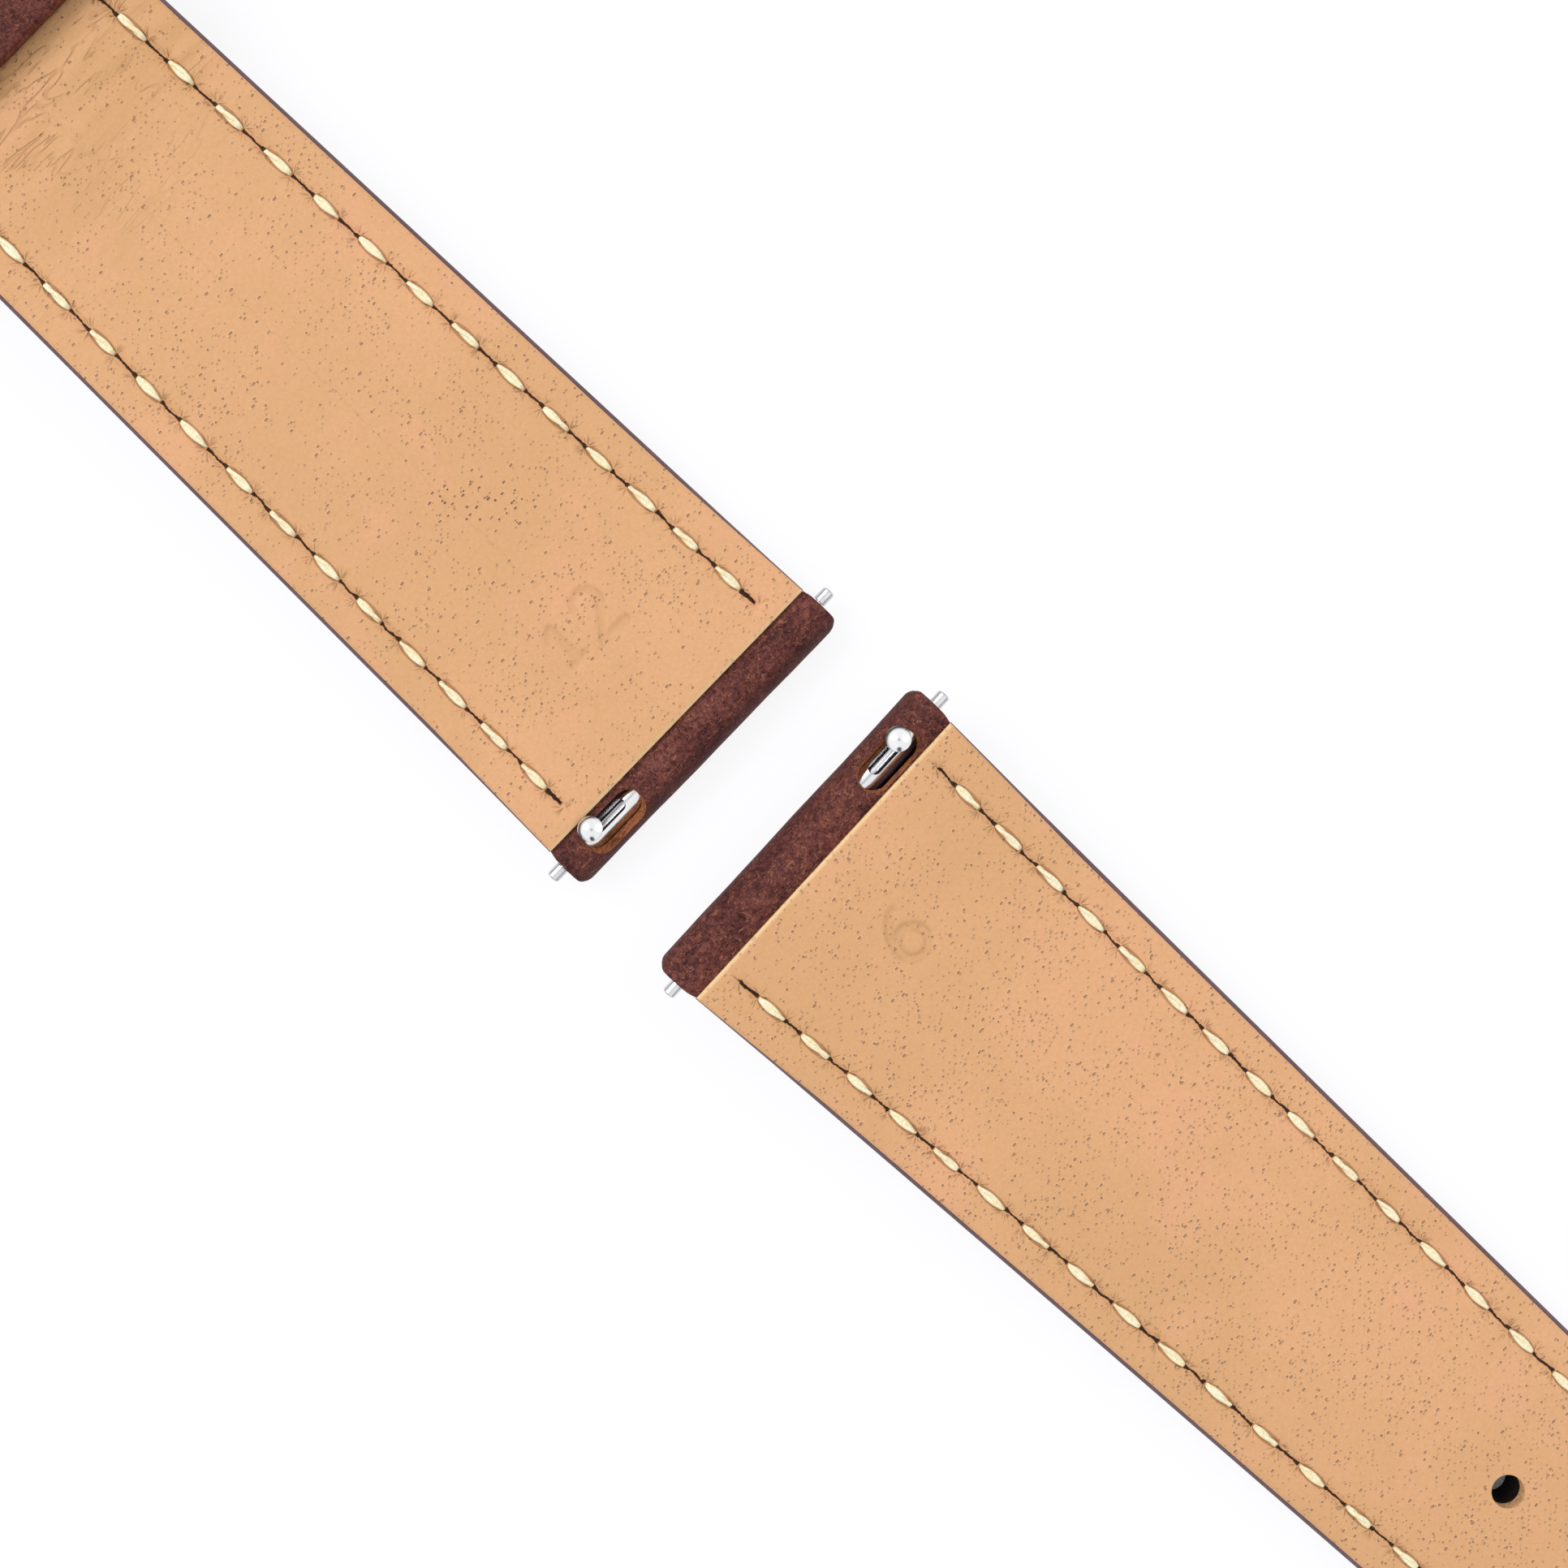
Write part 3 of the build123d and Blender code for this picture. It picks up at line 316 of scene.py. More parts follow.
def stitch_marks(finish, spot):
    """Masks of the slits and puckers round a stitch, and of the shadow painted round it, from the
    piece's row map.

    The map's first value is millimetres from the row, and the second counts stitches: a stitch
    starts at each whole number and ends STITCH_SHARE later, and each row has its own hundred.
    """
    row = finish.add("ShaderNodeUVMap", {"uv_map": "row"})
    away, count, _ = finish.split(row)
    wobble = finish.noise(spot, 0.9, 2.0)
    fine = finish.noise(spot, 5.0, 3.0)
    share = count.part()
    gap = share.rise(STITCH_SHARE - 0.05, STITCH_SHARE)
    middle = (STITCH_SHARE + 1) / 2
    near_hole = (abs(share - middle) / ((1 - STITCH_SHARE) / 2)).rise(0.5, 1.0)
    first = (((count + 1) / ROW_COUNTS).part() * ROW_COUNTS).rise(1.0, 0.95)
    off_line = abs(away + (wobble - 0.5) * 0.35)
    thickness = near_hole * 0.06 + first * 0.04 + 0.06 + (fine - 0.5) * 0.14
    y = finish.split(spot)[1]
    behind = abs(y - MIDDLE_SHIFT).rise(SLIT_START - 0.25, SLIT_START - 0.1)
    slit = gap * (off_line / thickness.most(0.02)).rise(1.3, 0.7) * behind
    reach = share.least(1 - share).least(abs(share - STITCH_SHARE)) * STITCH_PITCH
    far = (reach * reach + away * away) ** 0.5
    angle = finish.add("ShaderNodeMath", {"operation": "ARCTAN2"}, {0: away, 1: reach + 0.05})
    given = {0: angle * 3.2, 1: count * 2.0, 2: far * 0.5}
    fan = finish.add("ShaderNodeCombineXYZ", None, given)
    rays = finish.noise(fan, 1.8, 1.0).rise(0.55, 0.66)
    pucker = rays * far.rise(0.9, 0.25) * abs(away).rise(0.14, 0.24)
    run = share / STITCH_SHARE
    bow = (run * (1 - run) * 4).most(0.0) ** 0.5
    # Band just wider than the thread: where the stitch's painted shadow falls on the lining.
    painted_stitch_shadow = (abs(away) / (bow * THREAD_HALF_WIDTH + 0.06)).rise(1.2, 0.95) * (1 - gap)
    return slit, pucker, painted_stitch_shadow * behind


def pits(finish, spot, scale, size, crowd):
    """Small pits of the grain, each ringed by a pale painted highlight; crowd is the share of
    places that have one.
    """
    away = finish.cells(spot, scale, flat=True)
    chance = finish.cells(spot, scale, output="Color", flat=True)
    luck, large, _ = finish.split(chance, "ShaderNodeSeparateColor")
    there = (luck + crowd).rise(1.0, 1.1)
    far = away / (large * 0.8 + 0.6)
    pit = far.rise(size * 1.5, size * 0.7) * there
    # Pale ring round each pit: painted highlight.
    lip_highlight = far.rise(size * 2.6, size * 1.7) * there - pit
    return pit, lip_highlight.most(0.0)


# A patch of coarser grain on the buckle half, and where the lining is creased by its keeper and
# painted with shade near it
COARSE_PATCH = (1.3, 37.1)
COARSE_PATCH_REACH = (3.6, 1.7)
COARSE_PATCH_WAY = (0.69, 0.72)
CREASES_FROM = 57.0
CREASES_TO = 73.5


def lining_leather():
    finish = Finish("tan_lining")
    spot = finish.place()
    x, y, _ = finish.split(spot)
    slit, pucker, painted_stitch_shadow = stitch_marks(finish, spot)
    patches = finish.noise(spot, 0.055, 3.0, 0.55)
    warm = finish.noise(spot, 0.16, 3.0, 0.6)
    speckle = finish.noise(spot, 4.2, 3.0, 0.65)
    colour = finish.mix(patches.rise(0.36, 0.64), tone(225, 174, 125), tone(235, 180, 133))
    colour = finish.mix(warm.rise(0.5, 0.72) * 0.5, colour, tone(242, 179, 140))
    colour = finish.mix(speckle.rise(0.34, 0.66) * 0.2, colour, tone(205, 148, 101))
    right, onward = x - COARSE_PATCH[0], y - COARSE_PATCH[1]
    turned_x, turned_y = COARSE_PATCH_WAY
    length = (right * turned_x - onward * turned_y) / COARSE_PATCH_REACH[0]
    breadth = (right * turned_y + onward * turned_x) / COARSE_PATCH_REACH[1]
    coarse = ((length * length + breadth * breadth) ** 0.5).rise(1.15, 0.6)
    crowd = finish.noise(spot, 0.3, 2.0) + y.rise(MIDDLE_SHIFT + 1, MIDDLE_SHIFT - 1) * 0.12
    pit, lip_highlight = pits(finish, spot, 1.5, 0.075, crowd * 0.9 + coarse * 0.4 - 0.28)
    slanted = finish.stretched(spot, (0, 0, 0.5), (1.0, 2.1, 1.0))
    dash, dash_highlight = pits(finish, slanted, 1.0, 0.085, crowd * 0.9 + coarse * 0.7 - 0.2)
    tiny, tiny_highlight = pits(finish, slanted, 2.3, 0.13, crowd * 0.9 - 0.2)
    deep = pit.most(dash).most(tiny * 0.55)
    lip_highlights = lip_highlight.most(dash_highlight).most(tiny_highlight * 0.6)
    # Pale rings round the pits: painted highlight.
    colour = finish.mix(lip_highlights * 0.34, colour, tone(255, 208, 166))
    colour = finish.mix(deep * (coarse * 0.3 + 0.55), colour, tone(136, 86, 56))
    pressed = finish.mark("pressed")
    rim = pressed * (1 - pressed) * 4 * finish.noise(spot, 0.6, 2.0).rise(0.42, 0.6)
    colour = finish.mix(rim * 0.26, colour, tone(168, 130, 84))
    colour = finish.mix(pressed * 0.16, colour, tone(186, 150, 100))
    # Near the keeper the lining is painted yellower and darker: painted shade of the keeper and
    # its creases.
    near_keeper_shade = y.rise(CREASES_FROM, CREASES_TO)
    bands = finish.stretched(spot, (0, 0, 0.12), (0.16, 0.75, 0.3))
    lines = abs(finish.noise(bands, 1.0, 2.0, 0.5, 0.8) - 0.5).rise(0.03, 0.0)
    lines = lines * finish.noise(spot, 0.35, 2.0).rise(0.46, 0.6)
    lines = lines.most(finish.noise(bands, 1.7, 3.0, 0.6, 0.5).rise(0.55, 0.7) * 0.5)
    fold_shade = finish.noise(finish.stretched(spot, (0, 0, 0.1), (0.08, 0.4, 0.2)), 1.0, 3.0)
    crease = lines * near_keeper_shade
    colour = finish.mix(near_keeper_shade * fold_shade.rise(0.4, 0.65) * 0.45, colour, tone(198, 150, 92))
    # Darker crease lines: painted shade in the creases.
    colour = finish.mix(crease * 0.34, colour, tone(170, 122, 76))
    # Pale rim along the lining's front edge: painted highlight.
    colour = finish.mix(finish.mark("worn") * 0.8, colour, tone(255, 224, 168))
    # Painted shadow of each stitch on the lining round it.
    colour = finish.mix(painted_stitch_shadow * 0.55, colour, tone(140, 90, 56))
    # Dark rays round the stitch ends: painted shade in the puckers' creases.
    colour = finish.mix(pucker * 0.42, colour, tone(122, 74, 46))
    # Near-black slits between the stitches: painted shade inside them.
    colour = finish.mix(slit * 0.97, colour, tone(34, 14, 10))
    fine = finish.noise(spot, 7.0, 3.0, 0.6)
    height = fine * 0.35 + speckle * 0.5 + lip_highlights * 0.5 - deep * 1.8
    height = height - slit * 3.0 - pucker * 1.4 - crease * 1.6
    return finish.surface(
        Base_Color=colour,
        Roughness=0.5 + speckle * 0.18 + slit * 0.2,
        Normal=finish.bump(height, 0.04, 0.85),
        Specular_IOR_Level=0.25,
    )


def brown_leather(name, dark, middle, light, fibre):
    """Dark leather with a coarse, mottled grain and loose paler fibres."""
    finish = Finish(name)
    spot = finish.place()
    clouds = finish.noise(spot, 0.45, 3.0, 0.55)
    mottle = finish.noise(spot, 2.7, 4.0, 0.7, 0.6)
    colour = finish.add(
        "ShaderNodeValToRGB",
        {"stops": ((0.39, dark), (0.5, middle), (0.61, light))},
        {0: mottle * 0.72 + clouds * 0.28},
    )
    one_way = finish.stretched(spot, (0.3, 0.2, 0.9), (1.0, 4.2, 2.5))
    other_way = finish.stretched(spot, (0.8, 0.5, -0.7), (4.2, 1.0, 2.5))
    strands = finish.noise(one_way, 1.7, 2.0, 0.5, 1.2).rise(0.6, 0.66)
    strands = strands.most(finish.noise(other_way, 1.6, 2.0, 0.5, 1.2).rise(0.61, 0.67))
    winding = abs(finish.noise(spot, 1.15, 1.5, 0.5, 1.0) - 0.5).rise(0.026, 0.01)
    winding = winding * finish.noise(spot, 1.7, 1.0).rise(0.5, 0.56)
    strands = strands.most(winding)
    flecks = finish.cells(spot, 2.6).rise(0.22, 0.12) * clouds.rise(0.35, 0.55)
    patchy = finish.noise(spot, 1.3, 2.0).rise(0.38, 0.62)
    colour = finish.mix(strands * (patchy * 0.4 + 0.2), colour, fibre)
    colour = finish.mix(flecks * 0.5, colour, fibre)
    swayed = finish.noise(spot, 1.3, output="Color")
    bent = finish.add("ShaderNodeVectorMath", {"operation": "ADD"}, {0: spot, 1: swayed})
    folds = finish.cells(bent, 1.9, "DISTANCE_TO_EDGE").rise(0.0, 0.1)
    fine = finish.noise(spot, 8.0, 3.0, 0.6)
    pores = finish.cells(spot, 3.1).rise(0.24, 0.1)
    colour = finish.mix((1 - folds) * patchy * 0.22, colour, dark)
    # Darker towards the lug ends, where the roll curves away from the light: painted shade.
    from_edge = abs(finish.split(spot)[1] - MIDDLE_SHIFT) - LUG_GAP / 2
    painted_roll_shade = from_edge.rise(0.95, 0.1)
    colour = finish.mix(painted_roll_shade * 0.5, colour, dark)
    colour = finish.mix(pores * 0.55, colour, tone(36, 12, 12))
    height = folds * 0.8 + fine * 0.5 + mottle * 0.7 + strands * 0.5 + flecks * 0.5 - pores
    return finish.surface(
        Base_Color=colour,
        Roughness=0.5 + mottle * 0.2,
        Normal=finish.bump(height, 0.05, 0.9),
        Specular_IOR_Level=0.22,
    )


def raw_leather(name, dark, light):
    """Cut leather, with its loose fibres."""
    finish = Finish(name)
    spot = finish.place()
    fuzz = finish.noise(spot, 4.5, 4.0, 0.7, 0.5)
    drawn = finish.stretched(spot, (0.4, 0.1, 0.7), (2.0, 9.0, 3.0))
    strands = finish.noise(drawn, 1.5, 3.0, 0.6)
    colour = finish.mix((fuzz * 0.6 + strands * 0.4).rise(0.35, 0.65), dark, light)
    return finish.surface(
        Base_Color=colour,
        Roughness=0.85,
        Normal=finish.bump(fuzz + strands, 0.06, 0.9),
        Specular_IOR_Level=0.25,
    )


def painted_edge():
    finish = Finish("painted_edge")
    spot = finish.place()
    worn = finish.noise(spot, 1.6, 4.0, 0.65)
    layers = finish.noise(finish.stretched(spot, (0, 0, 0), (0.5, 0.5, 7.0)), 1.2, 3.0)
    colour = finish.mix(worn.rise(0.35, 0.7), tone(74, 42, 50), tone(104, 64, 72))
    colour = finish.mix(layers.rise(0.55, 0.7) * 0.35, colour, tone(52, 28, 30))
    return finish.surface(
        Base_Color=colour,
        Roughness=0.42 + worn * 0.2,
        Normal=finish.bump(worn * 0.6 + layers * 0.5, 0.04, 0.8),
    )


def waxed_thread():
    finish = Finish("cream_thread")
    spot = finish.place()
    fuzz = finish.noise(spot, 6.0, 3.0, 0.6)
    patches = finish.noise(spot, 1.1, 2.0)
    colour = finish.mix(fuzz.rise(0.35, 0.6), tone(254, 232, 176), tone(255, 254, 226))
    colour = finish.mix(patches.rise(0.45, 0.7) * 0.3, colour, tone(252, 226, 160))
    strands = finish.noise(finish.stretched(spot, (0, 0, 0.8), (9.0, 2.0, 9.0)), 1.6, 3.0)
    return finish.surface(
        Base_Color=colour,
        Roughness=0.62,
        Normal=finish.bump(fuzz * 0.5 + strands * 0.8, 0.03, 0.8),
    )


def steel(name, colour, rough, grain, streak):
    finish = Finish(name)
    spot = finish.place()
    lines = finish.noise(finish.stretched(spot, (0, 0, 0), streak), 1.0, 3.0, 0.6)
    smudge = finish.noise(spot, 0.7, 3.0)
    dulled = tuple(part * 0.9 for part in colour[:3]) + (1.0,)
    return finish.surface(
        Base_Color=finish.mix(smudge.rise(0.3, 0.7), colour, dulled),
        Metallic=1.0,
        Roughness=rough + smudge * 0.06 + lines * grain,
        Normal=finish.bump(lines, 0.004, 0.5),
    )


TAN = lining_leather()
BROWN = brown_leather(
    "brown_face_leather",
    tone(60, 24, 25),
    tone(99, 50, 46),
    tone(126, 72, 63),
    tone(184, 118, 90),
)
KEEPER = brown_leather(
    "keeper_leather",
    tone(66, 28, 27),
    tone(100, 50, 44),
    tone(122, 68, 58),
    tone(158, 94, 72),
)
RAW = raw_leather("raw_cut_leather", tone(112, 58, 34), tone(196, 124, 78))
# Near-black walls of the punched holes: painted shade inside the holes.
HOLE_SHADE = raw_leather("hole_wall_painted_shade", tone(18, 12, 13), tone(40, 30, 32))
LINING_CUT = raw_leather("cut_lining_edge", tone(214, 160, 110), tone(250, 208, 160))
FLESH = raw_leather("leather_flesh_side", tone(150, 100, 68), tone(196, 144, 104))
EDGE = painted_edge()
THREAD = waxed_thread()
BAR_STEEL = steel("polished_bar_steel", tone(226, 226, 228), 0.14, 0.06, (1.5, 9.0, 9.0))
PIN_STEEL = steel("turned_pin_steel", tone(214, 214, 218), 0.2, 0.12, (14.0, 1.0, 1.0))
KNOB_STEEL = steel("polished_knob_steel", tone(230, 230, 232), 0.1, 0.04, (4.0, 4.0, 4.0))
BUCKLE_STEEL = steel("brushed_buckle_steel", tone(206, 206, 210), 0.2, 0.14, (1.0, 6.0, 6.0))
SPRING_STEEL = steel("spring_steel", tone(190, 190, 194), 0.24, 0.1, (5.0, 5.0, 5.0))


# Modelling

def pick(piece):
    bpy.ops.object.select_all(action="DESELECT")
    bpy.context.view_layer.objects.active = piece
    piece.select_set(True)


def edit(piece):
    pick(piece)
    bpy.ops.object.mode_set(mode="EDIT")
    bpy.ops.mesh.select_all(action="SELECT")


def leave():
    bpy.ops.object.mode_set(mode="OBJECT")


def fresh(add, **sizes):
    """A new primitive, with nothing else selected."""
    bpy.ops.object.select_all(action="DESELECT")
    add(**sizes)
    return bpy.context.object


def name_piece(piece, name):
    piece.name = name
    piece.data.name = name
    return piece


def face_out(piece):
    """Turns all faces outwards."""
    edit(piece)
    bpy.ops.mesh.normals_make_consistent(inside=False)
    leave()


def slab(name, columns, rows):
    """Grid from -1 to 1 both ways, drawn down by one unit into the closed layer of a piece."""
    piece = fresh(
        bpy.ops.mesh.primitive_grid_add, x_subdivisions=columns, y_subdivisions=rows, size=2
    )
    edit(piece)
    bpy.ops.mesh.extrude_region_move(TRANSFORM_OT_translate={"value": (0, 0, -1)})
    leave()
    face_out(piece)
    return name_piece(piece, name)


def round_plug():
    return fresh(
        bpy.ops.mesh.primitive_cylinder_add, vertices=64, radius=1, depth=1, location=(0, 0, 0)
    )


def read_spots(items, name):
    spots = np.zeros(len(items) * 3)
    items.foreach_get(name, spots)
    return spots.reshape(-1, 3)


def corners(piece):
    return read_spots(piece.data.vertices, "co")


def reshape(piece, half, across, along, height):
    """Moves the piece's corners to their places in the half."""
    spots = half.place(across, along, height)
    piece.data.vertices.foreach_set("co", np.asarray(spots, dtype=float).ravel())
    piece.data.update()


def smooth(piece, angle):
    pick(piece)
    bpy.ops.object.shade_smooth_by_angle(angle=radians(angle))


def use_finishes(piece, finishes, chosen=None):
    piece.data.materials.clear()
    for finish in finishes:
        piece.data.materials.append(finish)
    if chosen is not None:
        piece.data.polygons.foreach_set("material_index", np.asarray(chosen, dtype=np.int32))


def cut(piece, cutter):
    """Takes the cutter's space out of the piece; the cut takes the cutter's finish."""
    pick(piece)
    modifier = piece.modifiers.new("cut", "BOOLEAN")
    modifier.operation = "DIFFERENCE"
    modifier.solver = "EXACT"
    modifier.material_mode = "TRANSFER"
    modifier.object = cutter
    bpy.ops.object.modifier_apply(modifier="cut")
    bpy.data.objects.remove(cutter)


def stations(share, stops, counts):
    """Place for each share of a grid, with counts cells between each two stops."""
    edges = np.concatenate([[0], np.cumsum(counts)]) / sum(counts)
    return np.interp(share, edges, stops)


def spread(side, limit, from_edge, counts, from_middle=()):
    """Across, from a share of a grid that has columns at set distances from edges and middle."""
    mirrored = [-distance for distance in from_edge[::-1]]
    tied = [-1] * len(from_edge) + [0] * len(from_middle) + [1] * len(from_edge)
    offsets = [*from_edge, *from_middle, *mirrored]
    return stations(side, tied, counts) * limit + stations(side, offsets, counts)


def eased(gap, reach):
    """1 at an edge, and falling to 0 at reach from it."""
    return np.clip(1 - gap / reach, 0, 1) ** 2


def dip(gap, width):
    return np.exp(-((gap / width) ** 2))


class Waves:
    """Soft unevenness over a surface, made of a few long waves."""

    def __init__(self, seed, longest, shortest, count):
        draw = np.random.default_rng(seed)
        lengths = np.exp(draw.uniform(np.log(shortest), np.log(longest), count))
        headings = draw.uniform(0, pi, count)
        phases = draw.uniform(0, 2 * pi, count)
        rates = 2 * pi / lengths
        self.waves = list(
            zip(rates * np.cos(headings), rates * np.sin(headings), phases, lengths / longest)
        )

    def __call__(self, across, along):
        total = sum(size * np.sin(a * across + b * along + c) for a, b, c, size in self.waves)
        return total / sqrt(sum(size**2 for *_, size in self.waves))


unevenness = Waves(11, 14.0, 2.0, 26)


# Plan of the halves

def arc(middle, radius, start, end, count=14):
    turns = np.radians(np.linspace(start, end, count))
    return np.stack([middle[0] + radius * np.cos(turns), middle[1] + radius * np.sin(turns)], 1)


def runs(line):
    """Length along a line of points, at each of them."""
    return np.concatenate([[0], np.cumsum(np.hypot(*np.diff(line, axis=0).T))])


def at_run(line, wanted):
    """Places across and along of the line, at the wanted lengths along it."""
    return [np.interp(wanted, runs(line), line[:, i]) for i in (0, 1)]


def tip_outline(inset):
    """Outline of the hole half's point, from its right side round to its left one."""
    side = END_WIDTH / 2 - inset
    nose_across = TIP_NOSE_WIDTH / 2 - inset / 2
    nose_along = HOLE_HALF_LENGTH - TIP_NOSE_LENGTH - inset
    start = HOLE_HALF_LENGTH - TIP_LENGTH
    rise = nose_along - start
    radius = ((side - nose_across) ** 2 + rise**2) / (2 * (side - nose_across))
    right = arc((side - radius, start), radius, 0, degrees(asin(rise / radius)), 40)
    nose_radius = (nose_across**2 + TIP_NOSE_LENGTH**2) / (2 * TIP_NOSE_LENGTH)
    reach = degrees(asin(nose_across / nose_radius))
    middle = HOLE_HALF_LENGTH - inset - nose_radius
    nose = arc((0, middle), nose_radius, 90 - reach, 90, 20)
    half_line = np.concatenate([right, nose[1:]])
    return np.concatenate([half_line, (half_line * [-1, 1])[::-1][1:]])


TIP_GRID_START = 104.0
CORNER_RADIUS = 0.5


def plan(half, side_share, along, inset):
    """Across and along on the strap, from a share of its width and a place along it."""
    side_share, along = np.broadcast_arrays(side_share, along)
    near = np.clip(CORNER_RADIUS - along, 0, CORNER_RADIUS)
    rounding = CORNER_RADIUS - np.sqrt(CORNER_RADIUS**2 - near**2)
    across = side_share * (half.half_width(along) - inset - rounding * (inset == 0))
    if half is hole_half:
        far = along > TIP_GRID_START
        share = np.clip((along - TIP_GRID_START) / (HOLE_HALF_LENGTH - TIP_GRID_START), 0, 1)
        outline = tip_outline(np.max(inset))
        out_across, out_along = at_run(outline, (1 - side_share) / 2 * runs(outline)[-1])
        limit = END_WIDTH / 2 - inset
        across = np.where(far, (1 - share) * side_share * limit + share * out_across, across)
        along = np.where(far, (1 - share) * TIP_GRID_START + share * out_along, along)
    return across, along


# Stitch rows, with places as they show in the photograph

ROW_INSET = {"buckle": 2.58, "hole": 2.5}
ROW_STOP = {"buckle": BUCKLE_BAR_ALONG - 5.6, "hole": HOLE_HALF_LENGTH - TIP_LENGTH - 0.5}
FIRST_STITCH = 6.7
LUG_PITCH = 3.37
PITCH_GROWTH = 0.036
WIDEST_PITCH = 3.72
SEEN_ALONG = 57.0
LAST_STITCH_BACK = 2.2
PLACE_SPREAD = 0.06
LENGTH_SPREAD = 0.08
STITCH_RUN = 2.1
END_SLIT = 1.3
ROW_STEP = 0.1
POINTS_AT_ONCE = 4000


def row_lines(half):
    """Two rows on the buckle half, and one round the point of the hole half."""
    spots = np.linspace(0, ROW_STOP[half.name], 80)
    right = np.stack([half.half_width(spots) - ROW_INSET[half.name], spots], 1)
    left = right * [-1, 1]
    if half is buckle_half:
        return [right, left]
    return [np.concatenate([right, tip_outline(ROW_INSET[half.name]), left[::-1]])]


def stitch_places(half, line, seed):
    """Start and end of each stitch along its row. They stand closer near the lug end.

    The hole half's row ends in a copy of its start, with one gap of two pitches between them,
    past the picture's edge.
    """
    draw = np.random.default_rng(seed)
    length = runs(line)[-1]
    seen = [FIRST_STITCH]
    while seen[-1] < SEEN_ALONG:
        seen.append(seen[-1] + min(LUG_PITCH + PITCH_GROWTH * (len(seen) - 1), WIDEST_PITCH))
    single = half is buckle_half
    spare = length - (LAST_STITCH_BACK if single else seen[-1]) - seen[-1]
    count = round(spare / STITCH_PITCH)
    between = list(seen[-1] + spare / count * np.arange(1, count + single))
    other_side = [] if single else [length - middle for middle in seen[-2::-1]]
    middles = np.array(seen + between + other_side)
    middles = middles + draw.uniform(-PLACE_SPREAD, PLACE_SPREAD, len(middles))
    sizes = draw.uniform(-LENGTH_SPREAD, LENGTH_SPREAD, len(middles))
    sizes = STITCH_PITCH * STITCH_SHARE / 2 + sizes
    return np.stack([middles - sizes, middles + sizes], 1)


rows = {
    half: [(line, stitch_places(half, line, 3 + i)) for i, line in enumerate(row_lines(half))]
    for half in (buckle_half, hole_half)
}


def row_map(half, across, along):
    """Distance from the nearest stitch row, and the count of stitches along it."""
    nearest = np.full(across.shape, 1e9)
    count = np.zeros(across.shape)
    slope = STITCH_SHARE / STITCH_RUN
    for k, (line, places) in enumerate(rows[half]):
        fine = np.arange(0, runs(line)[-1], ROW_STEP)
        points = np.stack(at_run(line, fine), 1)
        headings = np.gradient(points, axis=0)
        headings /= np.hypot(*headings.T)[:, None]
        knots = places.ravel()
        counts = (np.arange(len(places))[:, None] + [0, STITCH_SHARE]).ravel() + ROW_COUNTS * k
        for begin in range(0, len(across), POINTS_AT_ONCE):
            part = slice(begin, begin + POINTS_AT_ONCE)
            gaps_across = across[part, None] - points[:, 0]
            gaps_along = along[part, None] - points[:, 1]
            best = np.argmin(gaps_across**2 + gaps_along**2, axis=1)
            pairs = np.arange(len(best)), best
            dx, dy = gaps_across[pairs], gaps_along[pairs]
            side = headings[best, 0] * dy - headings[best, 1] * dx
            spot = fine[best] + headings[best, 0] * dx + headings[best, 1] * dy
            number = np.interp(spot, knots, counts)
            number = np.where(spot < knots[0], counts[0] - (knots[0] - spot) * slope, number)
            number = np.where(spot > knots[-1], counts[-1] + (spot - knots[-1]) * slope, number)
            beyond = np.maximum(knots[0] - spot, spot - knots[-1]) - END_SLIT
            side = np.where(beyond > 0, np.copysign(np.hypot(side, beyond), side), side)
            closer = np.abs(side) < np.abs(nearest[part])
            nearest[part] = np.where(closer, side, nearest[part])
            count[part] = np.where(closer, number, count[part])
    return nearest, count


def write_row_map(piece, away, count):
    layer = piece.data.uv_layers.get("row") or piece.data.uv_layers.new(name="row")
    loops = np.zeros(len(piece.data.loops), dtype=np.int32)
    piece.data.loops.foreach_get("vertex_index", loops)
    layer.data.foreach_set("uv", np.stack([away, count], 1)[loops].astype(np.float32).ravel())


# Numerals, pressed into the linings

ONE = [
    np.array([(-0.5, 0.75), (0.05, 1.22), (0.05, -1.25)]),
    np.array([(-0.45, -1.25), (0.55, -1.25)]),
]
TWO = [
    np.concatenate([arc((0, 0.72), 0.8, 160, -30), [(-0.85, -1.5)]]),
    np.array([(-0.85, -1.5), (0.95, -1.5)]),
]
SIX = [arc((0, -0.62), 0.95, 0, 360, 30), arc((1.15, -0.5), 2.1, 180, 108)]
NUMERALS = {
    "buckle": ((ONE, (-1.38, 10.8), 1), (TWO, (1.3, 10.8), 1)),
    "hole": ((SIX, (-0.03, 9.43), -1),),
}
NUMERAL_REACH = 4.0
STROKE_HALF_WIDTH = 0.24
STROKE_SOFTNESS = 0.05


def stroke_distance(across, along, strokes, middle, way):
    """Distance of each point from a numeral's strokes; way is 1 or -1 for its upright side."""
    right, up = way * (across - middle[0]), way * (along - middle[1])
    nearest = np.full(across.shape, 9.0)
    close = np.hypot(right, up) < NUMERAL_REACH
    for stroke in strokes:
        for first, last in zip(stroke[:-1], stroke[1:]):
            run = last - first
            dx, dy = right[close] - first[0], up[close] - first[1]
            share = np.clip((dx * run[0] + dy * run[1]) / (run @ run), 0, 1)
            gap = np.hypot(dx - share * run[0], dy - share * run[1])
            nearest[close] = np.minimum(nearest[close], gap)
    return nearest


def numeral_depth(half, across, along):
    gaps = [stroke_distance(across, along, *numeral) for numeral in NUMERALS[half.name]]
    return 1 / (1 + np.exp((np.minimum.reduce(gaps) - STROKE_HALF_WIDTH) / STROKE_SOFTNESS))


# Leather layers

